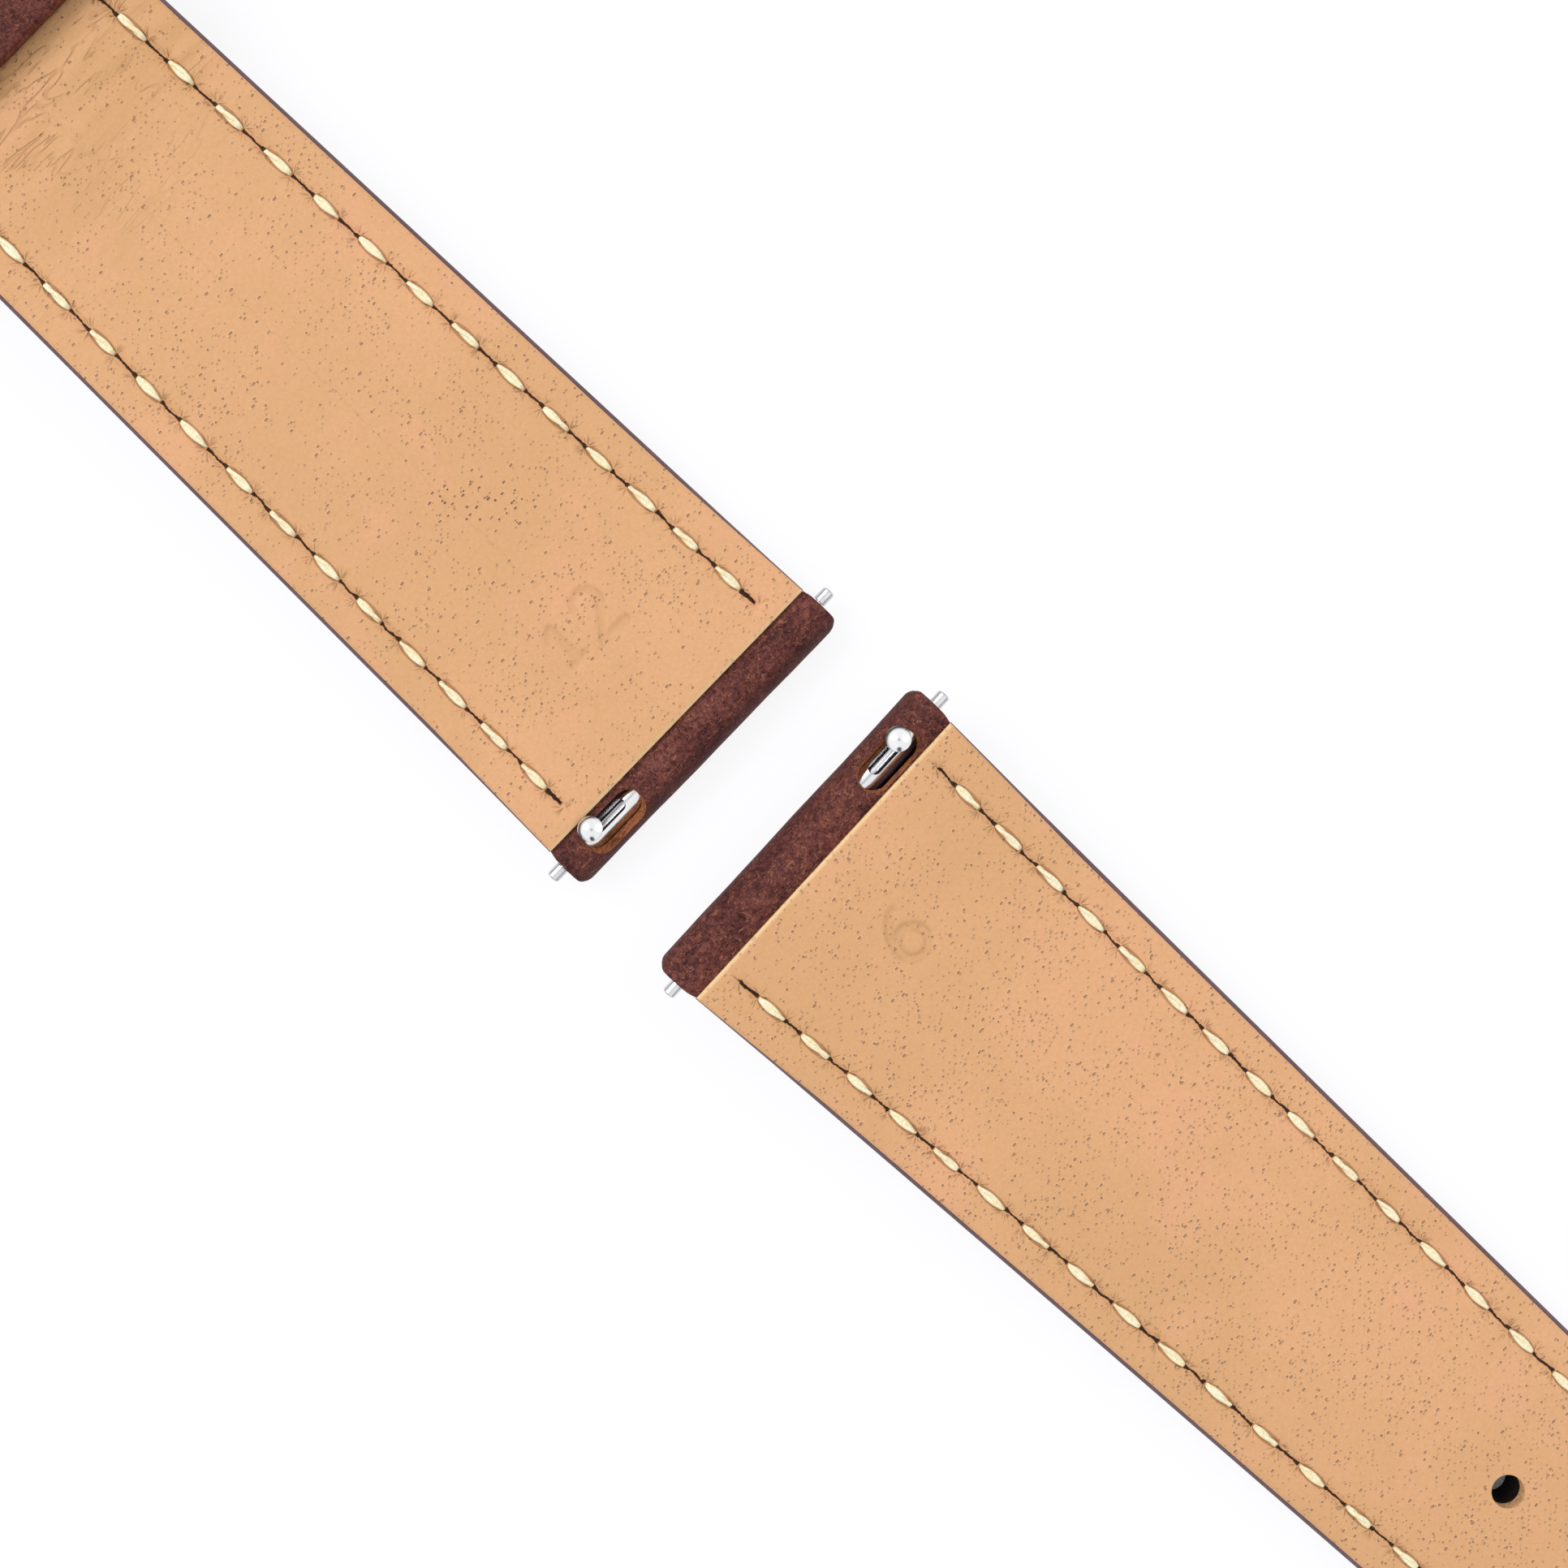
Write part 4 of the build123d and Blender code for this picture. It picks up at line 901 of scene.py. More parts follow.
LINING_STOPS = {
    "buckle": [LINING_START, 3.3, 8.8, 12.8, BUCKLE_BAR_ALONG - LINING_STOP],
    "hole": [LINING_START, 3.3, 7.4, 11.6, hole_half.flat, TIP_GRID_START, HOLE_HALF_LENGTH],
}
LINING_ROWS = {"buckle": [4, 22, 34, 232], "hole": [4, 17, 36, 176, 76, 34]}
LINING_COLUMNS = [2, 5, 17, 10, 40, 10, 17, 5, 2]
UPPER_COLUMNS = [2, 6, 12, 56, 12, 6, 2]
NUMERAL_COLUMNS = (-2.7, 2.7)
BROAD_BAND_AFTER = 10.0
EASED_EDGE = 0.3
RIM_HIGHLIGHT = 0.16
SIDE_ROUNDING = 0.12
FRONT_ROUNDING = 0.14
LINING_ROUGHNESS = 0.025
SLIT_EASE = 0.06
ROW_DIP = (0.13, 0.42)
SLIT_DIP = (0.14, 0.14)
STITCH_END_DIP = (0.12, 0.32)
PRESSED_DEPTH = 0.12


def row_dips(away, count):
    """Depth by which the stitches draw a layer in, along the row, at slits and at their ends."""
    part = count - np.floor(count)
    gap_share = np.clip((part - STITCH_SHARE) / SLIT_EASE, 0, 1)
    gap_share = gap_share * np.clip((1 - part) / SLIT_EASE, 0, 1)
    ends = np.minimum(np.abs(part - STITCH_SHARE), np.minimum(part, 1 - part)) * STITCH_PITCH
    row_dip = dip(away, ROW_DIP[1]) * ROW_DIP[0]
    slit_dip = dip(away, SLIT_DIP[1]) * gap_share * SLIT_DIP[0]
    return row_dip + slit_dip + dip(np.hypot(away, ends), STITCH_END_DIP[1]) * STITCH_END_DIP[0]


def skived_bottom(half, along):
    """Underside of the lining, which is skived to a thin edge over each turned-over flap."""
    front = LUG_THICKNESS - LINING_EDGE
    skive = (half.lining_bottom(FLAP_LENGTH) - front) / (FLAP_LENGTH - LINING_START)
    bottom = np.where(
        along < FLAP_LENGTH, front + skive * (along - LINING_START), half.lining_bottom(along)
    )
    if half is buckle_half:
        flap = BUCKLE_BAR_ALONG - BUCKLE_FLAP_STOP
        back = np.clip((along - flap) / (BUCKLE_FLAP_STOP - LINING_STOP), 0, 1)
        bottom = bottom + back * (LINING - LINING_EDGE)
    return bottom


def lining_piece(half):
    stops, counts = LINING_STOPS[half.name], LINING_ROWS[half.name]
    piece = slab(f"{half.name}_half_tan_lining", sum(LINING_COLUMNS), sum(counts))
    spots = corners(piece)
    middles = read_spots(piece.data.polygons, "center")
    on_side = np.abs(middles[:, 2] + 0.5) < 0.25
    chosen = np.where(on_side, np.where(middles[:, 1] < -0.999, 2, 1), 0)
    side, share, above = (spots[:, 0] + 1) / 2, (spots[:, 1] + 1) / 2, spots[:, 2] > -0.5
    along = stations(share, stops, counts)
    broad = np.clip((along - LINING_START) / BROAD_BAND_AFTER, 0, 1)
    edge_band = EDGE_BAND[half.name]
    band = LUG_EDGE_BAND + (edge_band - LUG_EDGE_BAND) * broad
    limit = half.half_width(along) - np.where(above, band, LINING_SPREAD)
    inset = ROW_INSET[half.name] - LUG_EDGE_BAND
    from_edge = [0, 0.25, inset - 0.95, inset + 0.95]
    across = spread(side, limit, from_edge, LINING_COLUMNS, NUMERAL_COLUMNS)
    upper_plan = plan(half, across / limit, along, np.where(above, band, edge_band))
    lower_plan = plan(half, across / limit, along, LINING_SPREAD)
    across, along = (np.where(above, high, low) for high, low in zip(upper_plan, lower_plan))
    away, count = row_map(half, across, along)
    pressed = numeral_depth(half, across, along)
    # Mark of the lining's front rim, which is painted as a highlight.
    worn = np.clip(1.5 - (along - LINING_START) / RIM_HIGHLIGHT, 0, 1)
    to_side = (1 - np.abs(2 * side - 1)) * limit
    edge = eased(to_side, EASED_EDGE) * SIDE_ROUNDING
    front = eased(along - LINING_START, EASED_EDGE) * FRONT_ROUNDING
    top = half.top(along) - edge - front + LINING_ROUGHNESS * unevenness(across, along)
    top = top - row_dips(away, count) - pressed * PRESSED_DEPTH
    if half is buckle_half:
        top = top - keeper_folds(across, along)
    reshape(piece, half, across, along, np.where(above, top, skived_bottom(half, along)))
    write_row_map(piece, away, count)
    for mark_name, values in (("pressed", pressed), ("worn", worn)):
        mark = piece.data.attributes.new(mark_name, "FLOAT", "POINT")
        mark.data.foreach_set("value", values.astype(np.float32))
    face_out(piece)
    use_finishes(piece, [TAN, EDGE, LINING_CUT], chosen)
    smooth(piece, angle=50)
    return piece


def keeper_folds(across, along):
    """Shallow folds where the free keeper has rubbed against the lining."""
    total = np.zeros(across.shape)
    for middle, lean, depth, width in (
        (54.6, 0.03, 0.09, 0.45),
        (52.2, -0.05, 0.12, 0.35),
        (50.4, 0.06, 0.08, 0.3),
        (48.3, -0.02, 0.05, 0.35),
        (46.0, 0.04, 0.04, 0.45),
    ):
        off = along - middle - lean * across - 0.25 * np.sin(across * 0.7 + middle)
        strength = 0.6 + 0.4 * np.sin(across * 0.9 + middle * 2)
        total += depth * dip(off, width) * strength
    return total


def upper_profile(half):
    """Side-view points of the leather's outside and inside, and the cells between them."""
    flap = half.lining_bottom(FLAP_LENGTH)
    high = LUG_ROLL + TUNNEL
    flap_slope = (flap - FLAP_EDGE - high) / (FLAP_LENGTH - LUG_ROLL)
    under_edge = high + flap_slope * (LINING_START - LUG_ROLL)
    roll_steps, bar_steps = 19, 13
    lug_middle = (LUG_ROLL, LUG_ROLL)
    outside = [(FLAP_LENGTH, flap), (LINING_START, LUG_THICKNESS - LINING_EDGE)]
    inside = [(FLAP_LENGTH, flap - FLAP_EDGE), (LINING_START, under_edge)]
    outside += [*arc(lug_middle, LUG_ROLL, 90, 270, roll_steps), (FLAP_LENGTH, 0)]
    inside += [*arc(lug_middle, TUNNEL, 90, 270, roll_steps), (FLAP_LENGTH, UPPER)]
    cells = [12, 6] + [2] * (roll_steps - 1) + [20]
    if half is buckle_half:
        back = BUCKLE_BAR_ALONG - BUCKLE_FLAP_STOP
        stop = BUCKLE_BAR_ALONG - LINING_STOP
        far = half.lining_bottom(back)
        bar = (BUCKLE_BAR_ALONG, BUCKLE_ROLL)
        rise = BUCKLE_ROLL + BUCKLE_TUNNEL
        slope = (far - FLAP_EDGE - rise) / BUCKLE_FLAP_STOP
        outside += [(back, 0), *arc(bar, BUCKLE_ROLL, 270, 450, bar_steps)]
        inside += [(back, UPPER), *arc(bar, BUCKLE_TUNNEL, 270, 450, bar_steps)]
        outside += [(stop, half.top(stop) - LINING_EDGE), (back, far)]
        inside += [(stop, rise + slope * LINING_STOP), (back, far - FLAP_EDGE)]
        cells += [150, 12] + [2] * (bar_steps - 1) + [10, 8]
    else:
        stops = (half.flat, TIP_GRID_START, HOLE_HALF_LENGTH)
        outside += [(stop, 0) for stop in stops]
        inside += [(stop, UPPER) for stop in stops]
        cells += [110, 90, 36]
    return np.array(outside), np.array(inside), cells


ROW_GROOVE = (0.16, 0.4)
UPPER_ROUNDING = 0.16
ROLL_ROUGHNESS = 0.02
FLAP_FROM_ALONG = 2.4
FLAP_FROM_HEIGHT = 2.6
POINT_FROM = TIP_GRID_START - 5


def upper_piece(half):
    outside, inside, cells = upper_profile(half)
    piece = slab(f"{half.name}_half_face_leather", sum(UPPER_COLUMNS), sum(cells))
    spots = corners(piece)
    levels = read_spots(piece.data.polygons, "center")[:, 2]
    chosen = np.where(levels > -0.25, 0, np.where(levels < -0.75, 2, 1))
    side, share, face = (spots[:, 0] + 1) / 2, (spots[:, 1] + 1) / 2, spots[:, 2] > -0.5
    out_along, out_height = (stations(share, outside[:, i], cells) for i in (0, 1))
    in_along, in_height = (stations(share, inside[:, i], cells) for i in (0, 1))
    limit = half.half_width(out_along)
    inset = ROW_INSET[half.name]
    side_share = spread(side, limit, [0, 0.3, inset - 0.7, inset + 0.7], UPPER_COLUMNS) / limit
    ease = eased((1 - np.abs(side_share)) * limit, EASED_EDGE)
    depth = np.where(face, UPPER_ROUNDING * ease, 1 - UPPER_ROUNDING * ease)
    along = out_along + (in_along - out_along) * depth
    height = out_height + (in_height - out_height) * depth
    across, flat_along = plan(half, side_share, out_along, 0.0)
    under_lining = np.clip((out_height - FLAP_FROM_HEIGHT) / 0.3, 0, 1)
    under_lining = under_lining * np.clip((out_along - FLAP_FROM_ALONG) / 0.8, 0, 1)
    across = across - side_share * FLAP_INSET * under_lining
    if half is hole_half:
        along = np.where(out_along > POINT_FROM, flat_along, along)
    away, count = row_map(half, across, along)
    groove = dip(away, ROW_GROOVE[1]) * ROW_GROOVE[0]
    height = height + np.where(face & (out_height < 0.01), groove, 0)
    push_along, push_height = along - LUG_ROLL, height - LUG_ROLL
    reach = np.maximum(np.hypot(push_along, push_height), 0.1)
    bulge = ROLL_ROUGHNESS * (unevenness(across, share * 100) * (1 - ease) - 1)
    bulge = np.where(face & (out_along < LUG_ROLL + 0.01), bulge / reach, 0)
    reshape(piece, half, across, along + push_along * bulge, height + push_height * bulge)
    write_row_map(piece, away, count)
    face_out(piece)
    use_finishes(piece, [BROWN, EDGE, FLESH], chosen)
    cut(piece, window_cutter(half))
    smooth(piece, angle=50)
    return piece


WINDOW_LENGTH = 4.2
WINDOW_END_RADIUS = 0.95
WINDOW_PAST_KNOB = 0.85
WINDOW_TOP = 2.6
WINDOW_BEVEL = {"buckle": (2.35, 0.85), "hole": (1.4, 1.35)}
WINDOW_FOOT = (0.68, 0.62)
WINDOW_FLARE = (0.3, -0.1)


def window_cutter(half):
    """Slot-shaped plug over the bar at the lever's end, which bevels one side of its cut."""
    plug = round_plug()
    spots = corners(plug)
    high = spots[:, 2] > 0
    wide_side = spots[:, 1] * (-1 if half is buckle_half else 1) > 0
    wide, narrow = (
        np.where(high, top, foot) for top, foot in zip(WINDOW_BEVEL[half.name], WINDOW_FOOT)
    )
    middle = WINDOW_LENGTH / 2 - KNOB_PLACE - WINDOW_PAST_KNOB
    ends = np.sign(np.round(spots[:, 0], 3)) * (WINDOW_LENGTH / 2 - WINDOW_END_RADIUS)
    flare = np.where(high, *WINDOW_FLARE)
    across = middle + spots[:, 0] * (WINDOW_END_RADIUS + flare) + ends
    along = LUG_ROLL + spots[:, 1] * np.where(wide_side, wide, narrow)
    reshape(plug, half, across, along, LUG_ROLL + np.where(high, WINDOW_TOP, 0.0))
    face_out(plug)
    use_finishes(plug, [RAW])
    return plug


CORE_STEP = 0.02
CORE_BACK = 0.05


def core_piece(half):
    """Stiffener, seen only as the painted edge between the face leather and the lining."""
    flap = half.lining_bottom(FLAP_LENGTH)
    front = LUG_ROLL + TUNNEL + CORE_BACK
    share = (front - LUG_ROLL) / (FLAP_LENGTH - LUG_ROLL)
    high, low = LUG_ROLL + TUNNEL, LUG_ROLL - TUNNEL
    points = [
        (front, high + (flap - FLAP_EDGE - high) * share, low + (UPPER - low) * share),
        (FLAP_LENGTH, flap - FLAP_EDGE, UPPER),
        (FLAP_LENGTH + CORE_STEP, flap, UPPER),
    ]
    if half is buckle_half:
        back = BUCKLE_BAR_ALONG - BUCKLE_FLAP_STOP
        far = half.lining_bottom(back)
        stop = BUCKLE_BAR_ALONG - BUCKLE_TUNNEL - CORE_BACK
        share = (stop - back) / BUCKLE_FLAP_STOP
        high, low = BUCKLE_ROLL + BUCKLE_TUNNEL, BUCKLE_ROLL - BUCKLE_TUNNEL
        flap = far - FLAP_EDGE
        points += [
            (back - CORE_STEP, far, UPPER),
            (back, flap, UPPER),
            (stop, flap + (high - flap) * share, UPPER + (low - UPPER) * share),
        ]
        counts = [10, 1, 90, 1, 8]
    else:
        points += [
            (stop, half.lining_bottom(stop), UPPER) for stop in (TIP_GRID_START, HOLE_HALF_LENGTH)
        ]
        counts = [10, 1, 110, 24]
    piece = slab(f"{half.name}_half_stiffener", 24, sum(counts))
    spots = corners(piece)
    share = (spots[:, 1] + 1) / 2
    along, high, low = (stations(share, values, counts) for values in zip(*points))
    across, along = plan(half, spots[:, 0], along, CORE_INSET)
    reshape(piece, half, across, along, np.where(spots[:, 2] > -0.5, high, low))
    face_out(piece)
    smooth(piece, angle=40)
    use_finishes(piece, [EDGE])
    return piece


HOLE_PIN_LEVELS = (-1.0, 4.2)


def hole_pin(index, finish):
    """Round pin that punches one adjusting hole."""
    pin = round_plug()
    spots = corners(pin)
    along = FIRST_HOLE + index * HOLE_SPACING + spots[:, 1] * HOLE_RADIUS
    low, high = HOLE_PIN_LEVELS
    reshape(pin, hole_half, spots[:, 0] * HOLE_RADIUS, along, np.where(spots[:, 2] > 0, high, low))
    face_out(pin)
    use_finishes(pin, [finish])
    return pin


# Stitches

PLY_SIDES = 8
PLY_RINGS = 11
PLY_RADIUS = 0.155
PLY_ORBIT = 0.12
PLY_HEIGHT = 0.8
ORBIT_HEIGHT = 0.6
PLY_LIFT = 0.02
END_DROP = 0.42
STITCH_SINK = 0.06
BACK_LEVEL = 0.16
BACK_OVERLAP = 0.1


def ply_template():
    """Closed tube of one ply, from 0 to 1 along its length, that every stitch copies."""
    piece = fresh(
        bpy.ops.mesh.primitive_cylinder_add,
        vertices=PLY_SIDES,
        radius=1,
        depth=1,
        location=(0, 0, 0.5),
        end_fill_type="TRIFAN",
    )
    bpy.ops.object.transform_apply(location=True, rotation=True, scale=True)
    edit(piece)
    for i in range(1, PLY_RINGS):
        bpy.ops.mesh.select_all(action="SELECT")
        bpy.ops.mesh.bisect(plane_co=(0, 0, i / PLY_RINGS), plane_no=(0, 0, 1))
    leave()
    return piece


def stitch_run(half, first, last, level, seed, sign):
    """Shapes both plies of a stitch between two places; level gives its height from along."""
    draw = np.random.default_rng(seed)
    first, last = np.array(first), np.array(last)
    heading = (last - first) / np.hypot(*(last - first))
    start_turn = draw.uniform(-0.9, -0.1) * pi
    width = draw.uniform(0.92, 1.08)
    parts = []
    for ply in (0, 1):
        piece = bpy.data.objects.new("ply", template.data.copy())
        bpy.context.scene.collection.objects.link(piece)
        spots = corners(piece)
        share = spots[:, 2]
        swell = np.sin(pi * np.clip(0.04 + share * 0.92, 0, 1)) ** 0.5
        radius = PLY_RADIUS * swell * width
        orbit = PLY_ORBIT * swell
        angle = start_turn + ply * pi + share * pi
        off = orbit * np.cos(angle) + radius * spots[:, 0]
        rise = ORBIT_HEIGHT * orbit * np.sin(angle) + PLY_HEIGHT * radius * spots[:, 1]
        drop = np.clip((np.abs(share - 0.5) - 0.4) / 0.1, 0, 1) ** 2 * END_DROP
        base = first + (last - first) * share[:, None]
        across = base[:, 0] + heading[1] * off
        along = base[:, 1] - heading[0] * off
        reshape(piece, half, across, along, level(along) + sign * (rise + PLY_LIFT - drop))
        parts.append(piece)
    return parts


def thread(name, parts):
    """One thread of all its plies."""
    bpy.ops.object.select_all(action="DESELECT")
    for part in parts:
        part.select_set(True)
    bpy.context.view_layer.objects.active = parts[0]
    bpy.ops.object.join()
    whole = name_piece(bpy.context.object, name)
    face_out(whole)
    smooth(whole, angle=180)
    use_finishes(whole, [THREAD])
    return whole


def row_thread(name, half, index):
    line, places = rows[half][index]
    parts = []
    for i, (start, end) in enumerate(places):
        ends = np.stack(at_run(line, [start, end]), 1)
        parts += stitch_run(half, *ends, lambda along: half.top(along) - STITCH_SINK, 40 + i, 1)
    for i, (end, start) in enumerate(zip(places[:-1, 1], places[1:, 0])):
        ends = np.stack(at_run(line, [end - BACK_OVERLAP, start + BACK_OVERLAP]), 1)
        parts += stitch_run(half, *ends, lambda along: BACK_LEVEL, 90 + i, -1)
    return thread(name, parts)


def keeper_stitches(name):
    """Two stitches over the free keeper's seam, outside and inside, with a run between them."""
    middle = FREE_KEEPER_ALONG + KEEPER_WIDTH / 2
    outside = FREE_KEEPER_TOP + KEEPER_THICKNESS - BACK_LEVEL
    inside = FREE_KEEPER_TOP + BACK_LEVEL
    reach = KEEPER_STITCH_LENGTH / 2
    places = (middle - KEEPER_STITCH_SPREAD / 2, middle + KEEPER_STITCH_SPREAD / 2)
    parts = []
    for place in places:
        ends = (-reach, place), (reach, place)
        parts += stitch_run(buckle_half, *ends, lambda along: outside, 7, 1)
        parts += stitch_run(buckle_half, *ends, lambda along: inside, 8, -1)
    ends = (reach, places[0]), (reach, places[1])
    parts += stitch_run(buckle_half, *ends, lambda along: inside, 9, -1)
    return thread(name, parts)


# Keepers

KEEPER_CLEARANCE = 0.35
KEEPER_INNER_RADIUS = 0.35
KEEPER_OUTER_RADIUS = 1.2
FIXED_KEEPER_BAR = 0.5
WALL_SQUARENESS = 0.28
EDGE_SQUARENESS = 0.75


def rounded_loop(half_width, low, high, radius):
    """Points of a rounded rectangle, from the middle of its right side, 60 to each quarter."""
    middle = (low + high) / 2
    stops = [(half_width, middle), (0, high), (-half_width, middle), (0, low)]
    stops.append(stops[0])
    bends = [(1, high - radius), (-1, high - radius), (-1, low + radius), (1, low + radius)]
    points = []
    for i, (side, level) in enumerate(bends):
        bend = arc((side * (half_width - radius), level), radius, 90 * i, 90 * i + 90, 21)
        before = np.linspace(stops[i], bend[0], 20)[:-1]
        after = np.linspace(bend[-1], stops[i + 1], 22)[1:-1]
        points += [before, bend, after]
    return np.concatenate(points)


def loop_at(loop, share):
    closed = np.concatenate([loop, loop[:1]])
    counts = np.linspace(0, 1, len(closed))
    return [np.interp(share, counts, closed[:, i]) for i in (0, 1)]


def squared(turn, power):
    """0 to 1 round a section, as its cosine goes, but squarer."""
    return 0.5 + 0.5 * np.sign(turn) * np.abs(turn) ** power


def band_piece(name, along, inner_top, bar):
    """Leather loop with eased edges, from a ring that is bent to the strap's section."""
    piece = fresh(
        bpy.ops.mesh.primitive_torus_add,
        major_segments=240,
        minor_segments=40,
        major_radius=1,
        minor_radius=0.25,
    )
    spots = corners(piece)
    reach = np.hypot(spots[:, 0], spots[:, 1]) - 1
    section = np.arctan2(spots[:, 2], reach)
    half_inner = buckle_half.half_width(along) + KEEPER_CLEARANCE
    half_outer = half_inner + KEEPER_THICKNESS
    inner = rounded_loop(half_inner, -KEEPER_GAP, inner_top, KEEPER_INNER_RADIUS)
    low = -KEEPER_GAP - KEEPER_THICKNESS
    outer = rounded_loop(half_outer, low, inner_top + bar, KEEPER_OUTER_RADIUS)
    share = (np.arctan2(spots[:, 1], spots[:, 0]) / (2 * pi)) % 1
    in_across, in_height = loop_at(inner, share)
    out_across, out_height = loop_at(outer, share)
    wall = squared(np.cos(section), WALL_SQUARENESS)
    place = squared(np.sin(section), EDGE_SQUARENESS)
    across = in_across + (out_across - in_across) * wall
    height = in_height + (out_height - in_height) * wall
    reshape(piece, buckle_half, across, along + place * KEEPER_WIDTH, height)
    face_out(piece)
    smooth(piece, angle=60)
    use_finishes(piece, [KEEPER])
    return name_piece(piece, name)


def seam_cutter():
    """Thin blade that parts the free keeper's two ends."""
    blade = fresh(bpy.ops.mesh.primitive_cube_add, size=1)
    spots = corners(blade)
    along = FREE_KEEPER_ALONG + KEEPER_WIDTH * (0.5 + 1.2 * spots[:, 1])
    height = FREE_KEEPER_TOP + KEEPER_THICKNESS * (0.5 + 1.6 * spots[:, 2])
    reshape(blade, buckle_half, spots[:, 0] * KEEPER_SEAM, along, height)
    face_out(blade)
    use_finishes(blade, [KEEPER])
    return blade


# Making

template = ply_template()

for half in (buckle_half, hole_half):
    prefix = f"{half.name}_half"
    lining = lining_piece(half)
    upper = upper_piece(half)
    core = core_piece(half)
    if half is hole_half:
        for piece in (lining, upper, core):
            for index in range(HOLE_COUNT):
                cut(piece, hole_pin(index, LINING_CUT if piece is lining else HOLE_SHADE))
            smooth(piece, angle=50)
    for piece, node, slot in (
        (lining, "lining", "tan_leather"),
        (upper, "upper_leather", "brown_leather"),
        (core, "filler", "stiffener"),
    ):
        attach(piece, prefix)
        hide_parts(f"{prefix}_{node}")

for name, half, index, node in (
    ("buckle_half_right_stitches", buckle_half, 0, "buckle_half_right_thread"),
    ("buckle_half_left_stitches", buckle_half, 1, "buckle_half_left_thread"),
    ("hole_half_stitches", hole_half, 0, "hole_half_thread"),
):
    piece = row_thread(name, half, index)
    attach(piece, f"{half.name}_half")
    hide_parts(node)

keeper_thread = keeper_stitches("keeper_stitches")
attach(keeper_thread, "free_keeper")
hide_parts("free_keeper_thread")
bpy.data.objects.remove(template)

free_keeper = band_piece(
    "sliding_keeper", FREE_KEEPER_ALONG, FREE_KEEPER_TOP, KEEPER_THICKNESS
)
fixed_keeper = band_piece(
    "sewn_keeper", FIXED_KEEPER_ALONG, FIXED_KEEPER_TOP - FIXED_KEEPER_BAR, FIXED_KEEPER_BAR
)
cut(free_keeper, seam_cutter())
smooth(free_keeper, angle=60)
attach(free_keeper, "free_keeper")
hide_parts("free_keeper")
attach(fixed_keeper, "buckle_half")
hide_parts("fixed_keeper")


def give(node_name, finish):
    node = nodes[node_name]
    for slot in node.material_slots:
        slot.material = finish
    if not node.material_slots:
        node.data.materials.append(finish)


for half in (buckle_half, hole_half):
    for part, finish in (
        ("lug_bar_tube", BAR_STEEL),
        ("lever_plunger", PIN_STEEL),
        ("plain_plunger", PIN_STEEL),
        ("release_knob", KNOB_STEEL),
        ("lug_bar_spring", SPRING_STEEL),
    ):
        give(f"{half.name}_half_{part}", finish)
for node_name, finish in (
    ("buckle_frame", BUCKLE_STEEL),
    ("buckle_tongue", BUCKLE_STEEL),
    ("buckle_bar_tube", BAR_STEEL),
    ("buckle_bar_right_plunger", PIN_STEEL),
    ("buckle_bar_left_plunger", PIN_STEEL),
    ("buckle_bar_spring", SPRING_STEEL),
):
    give(node_name, finish)


# Table and light

TABLE_LEVEL = -0.03


def white_floor():
    """White table; in the strap's punched holes, where little light comes in, it turns dark."""
    floor = fresh(bpy.ops.mesh.primitive_plane_add, size=4, location=(0, 0, TABLE_LEVEL * MM))
    floor.name = "table"
    finish = Finish("white_table")
    ray_kinds = ("Is Camera Ray", "Is Glossy Ray", "Is Transmission Ray")
    seen = [finish.add("ShaderNodeLightPath", output=name) for name in ray_kinds]
    settings = {"samples": 6, "only_local": False}
    room = finish.add("ShaderNodeAmbientOcclusion", settings, {"Distance": 0.004}, 1)
    room = room.rise(0.12, 0.3)
    share = (seen[0] + seen[1] + seen[2]).least(1.0) * room * 0.82
    pale = finish.mix(room, (0.01, 0.01, 0.012, 1), (0.88, 0.83, 0.96, 1))
    matt = finish.add("ShaderNodeBsdfDiffuse", None, {"Color": pale})
    glow = finish.add("ShaderNodeEmission", None, {"Color": (1, 1, 1, 1), "Strength": 1.06})
    finish.show(finish.add("ShaderNodeMixShader", None, {0: share, 1: matt, 2: glow}))
    use_finishes(floor, [finish.material])


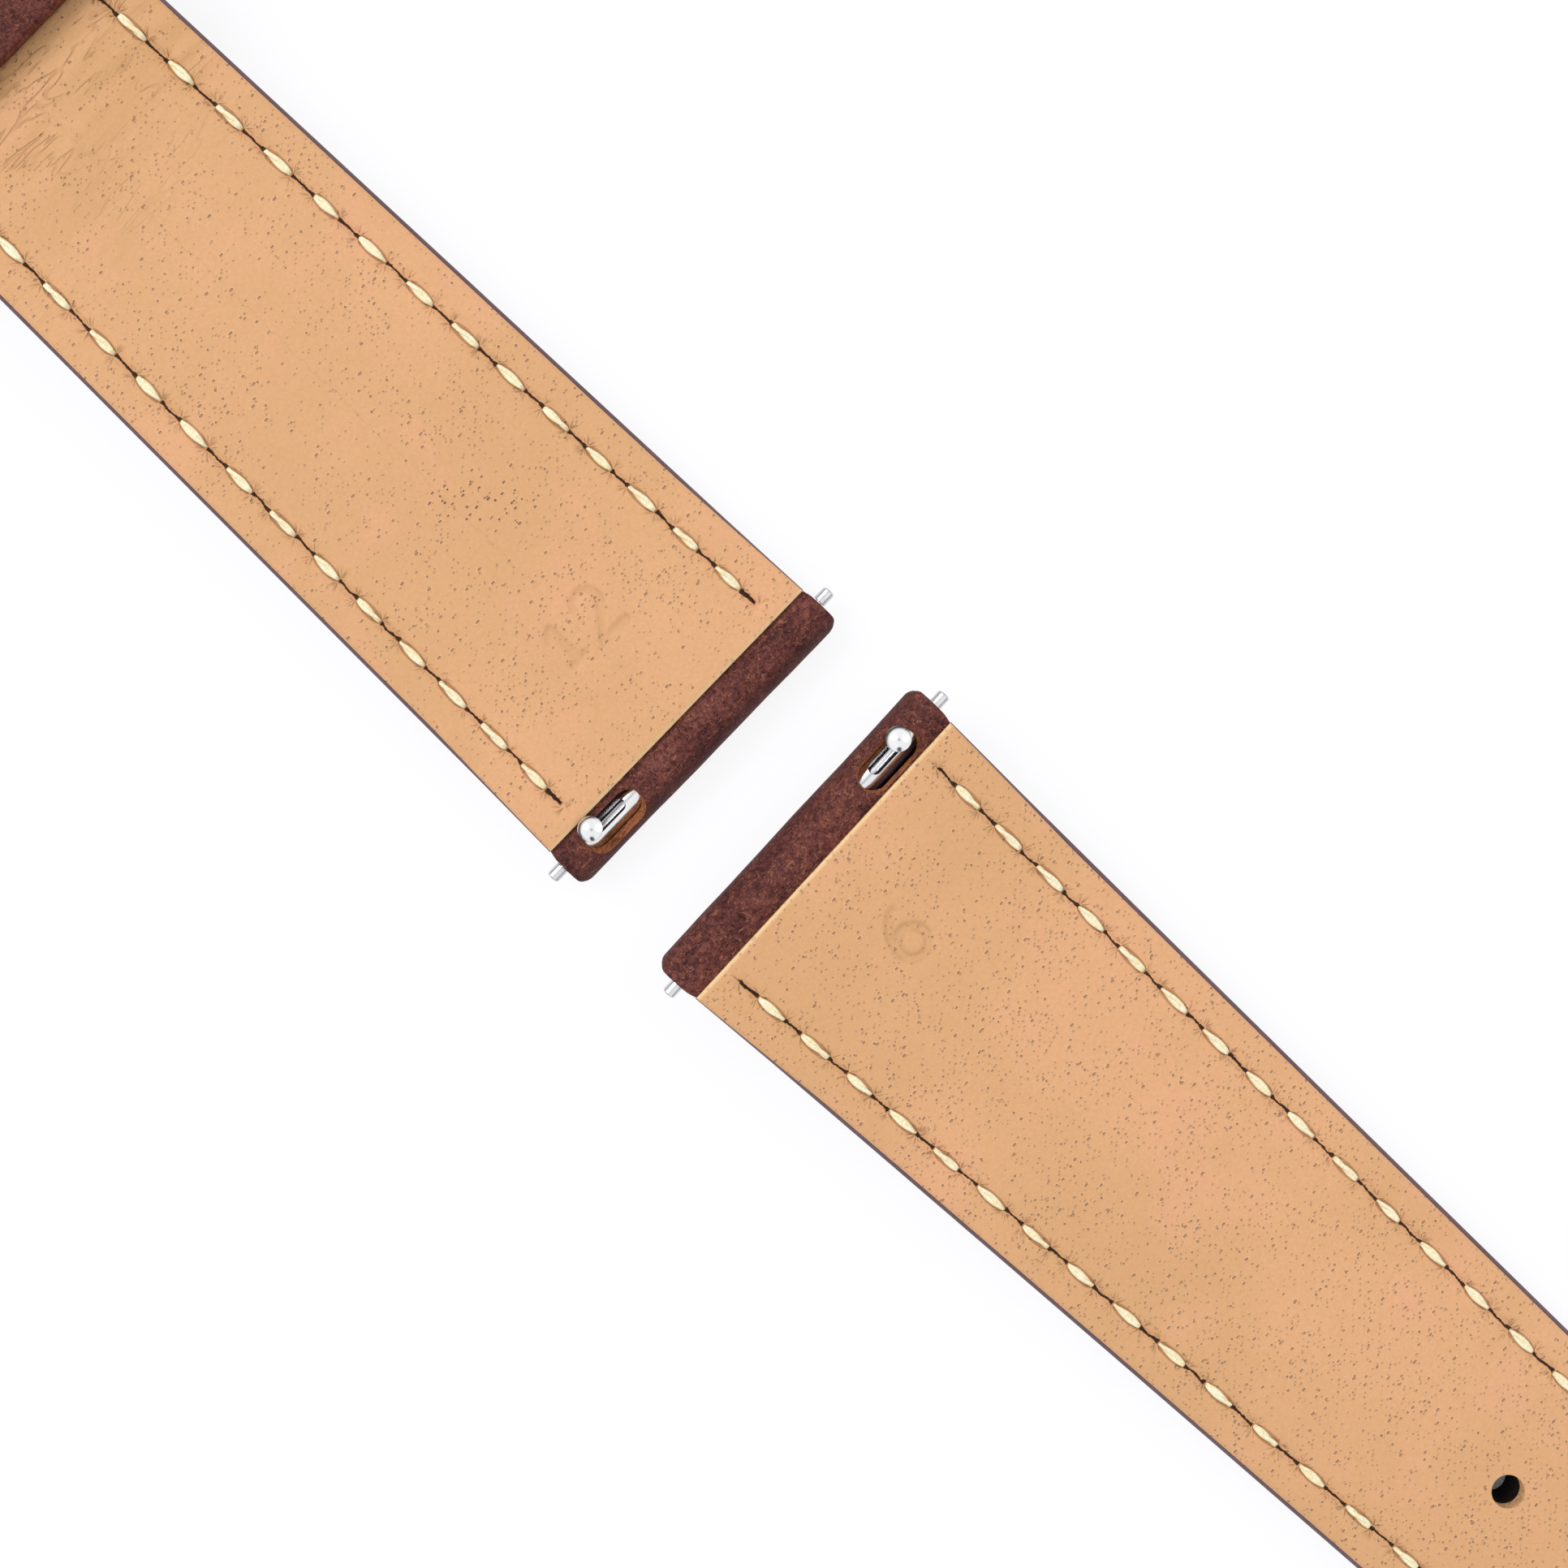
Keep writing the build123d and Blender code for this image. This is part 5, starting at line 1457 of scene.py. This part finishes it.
def lamp(name, place, target, size, power):
    light = bpy.data.lights.new(name, "AREA")
    light.shape = "DISK"
    light.size = size
    light.energy = power
    holder = bpy.data.objects.new(name, light)
    bpy.context.scene.collection.objects.link(holder)
    holder.location = place
    holder.rotation_euler = (Vector(target) - Vector(place)).to_track_quat("-Z", "Y").to_euler()


# What the metal mirrors: a white room with a dark horizon, a dark shape at one side and a grey
# one overhead
SIDE_SHAPE_WAY = (-0.59, -0.57, 0.57)
OVERHEAD_SHAPE_WAY = (0.0, 0.0, 1.0)


class Sky(Finish):
    """The world's nodes, built like a material's."""

    def __init__(self, name):
        world = bpy.data.worlds.new(name)
        bpy.context.scene.world = world
        world.use_nodes = True
        self.tree = world.node_tree
        self.tree.nodes.clear()
        self.output = self.tree.nodes.new("ShaderNodeOutputWorld")

    def toward(self, way, wide, narrow):
        """1 near one direction of the sky, 0 further from it than wide degrees."""
        given = {0: self.add("ShaderNodeTexCoord"), 1: way}
        aligned = self.add("ShaderNodeVectorMath", {"operation": "DOT_PRODUCT"}, given, 1)
        return aligned.rise(cos(radians(wide)), cos(radians(narrow)))


def daylight():
    sky = Sky("studio")
    overhead = sky.toward((0, 0, 1), 84, 66)
    side_shape = sky.toward(SIDE_SHAPE_WAY, 15, 10)
    overhead_shape = sky.toward(OVERHEAD_SHAPE_WAY, 9, 5)
    mirrored = (overhead * 1.15 + 0.03) * (1 - side_shape * 0.92) * (1 - overhead_shape * 0.55)
    glossy = sky.add("ShaderNodeLightPath", output="Is Glossy Ray")
    plain, bright = (
        sky.add("ShaderNodeBackground", None, {"Color": (1, 1, 1, 1), "Strength": strength})
        for strength in (0.62, mirrored)
    )
    sky.show(sky.add("ShaderNodeMixShader", None, {0: glossy, 1: plain, 2: bright}))
    middle = (0, MIDDLE_SHIFT * MM, 0)
    lamp("window", (-0.12, 0.42, 0.5), middle, 0.35, 1.6)
    lamp("bounce", (0.4, -0.2, 0.5), middle, 0.5, 0.7)


white_floor()
daylight()
bpy.context.scene.view_settings.view_transform = "Standard"
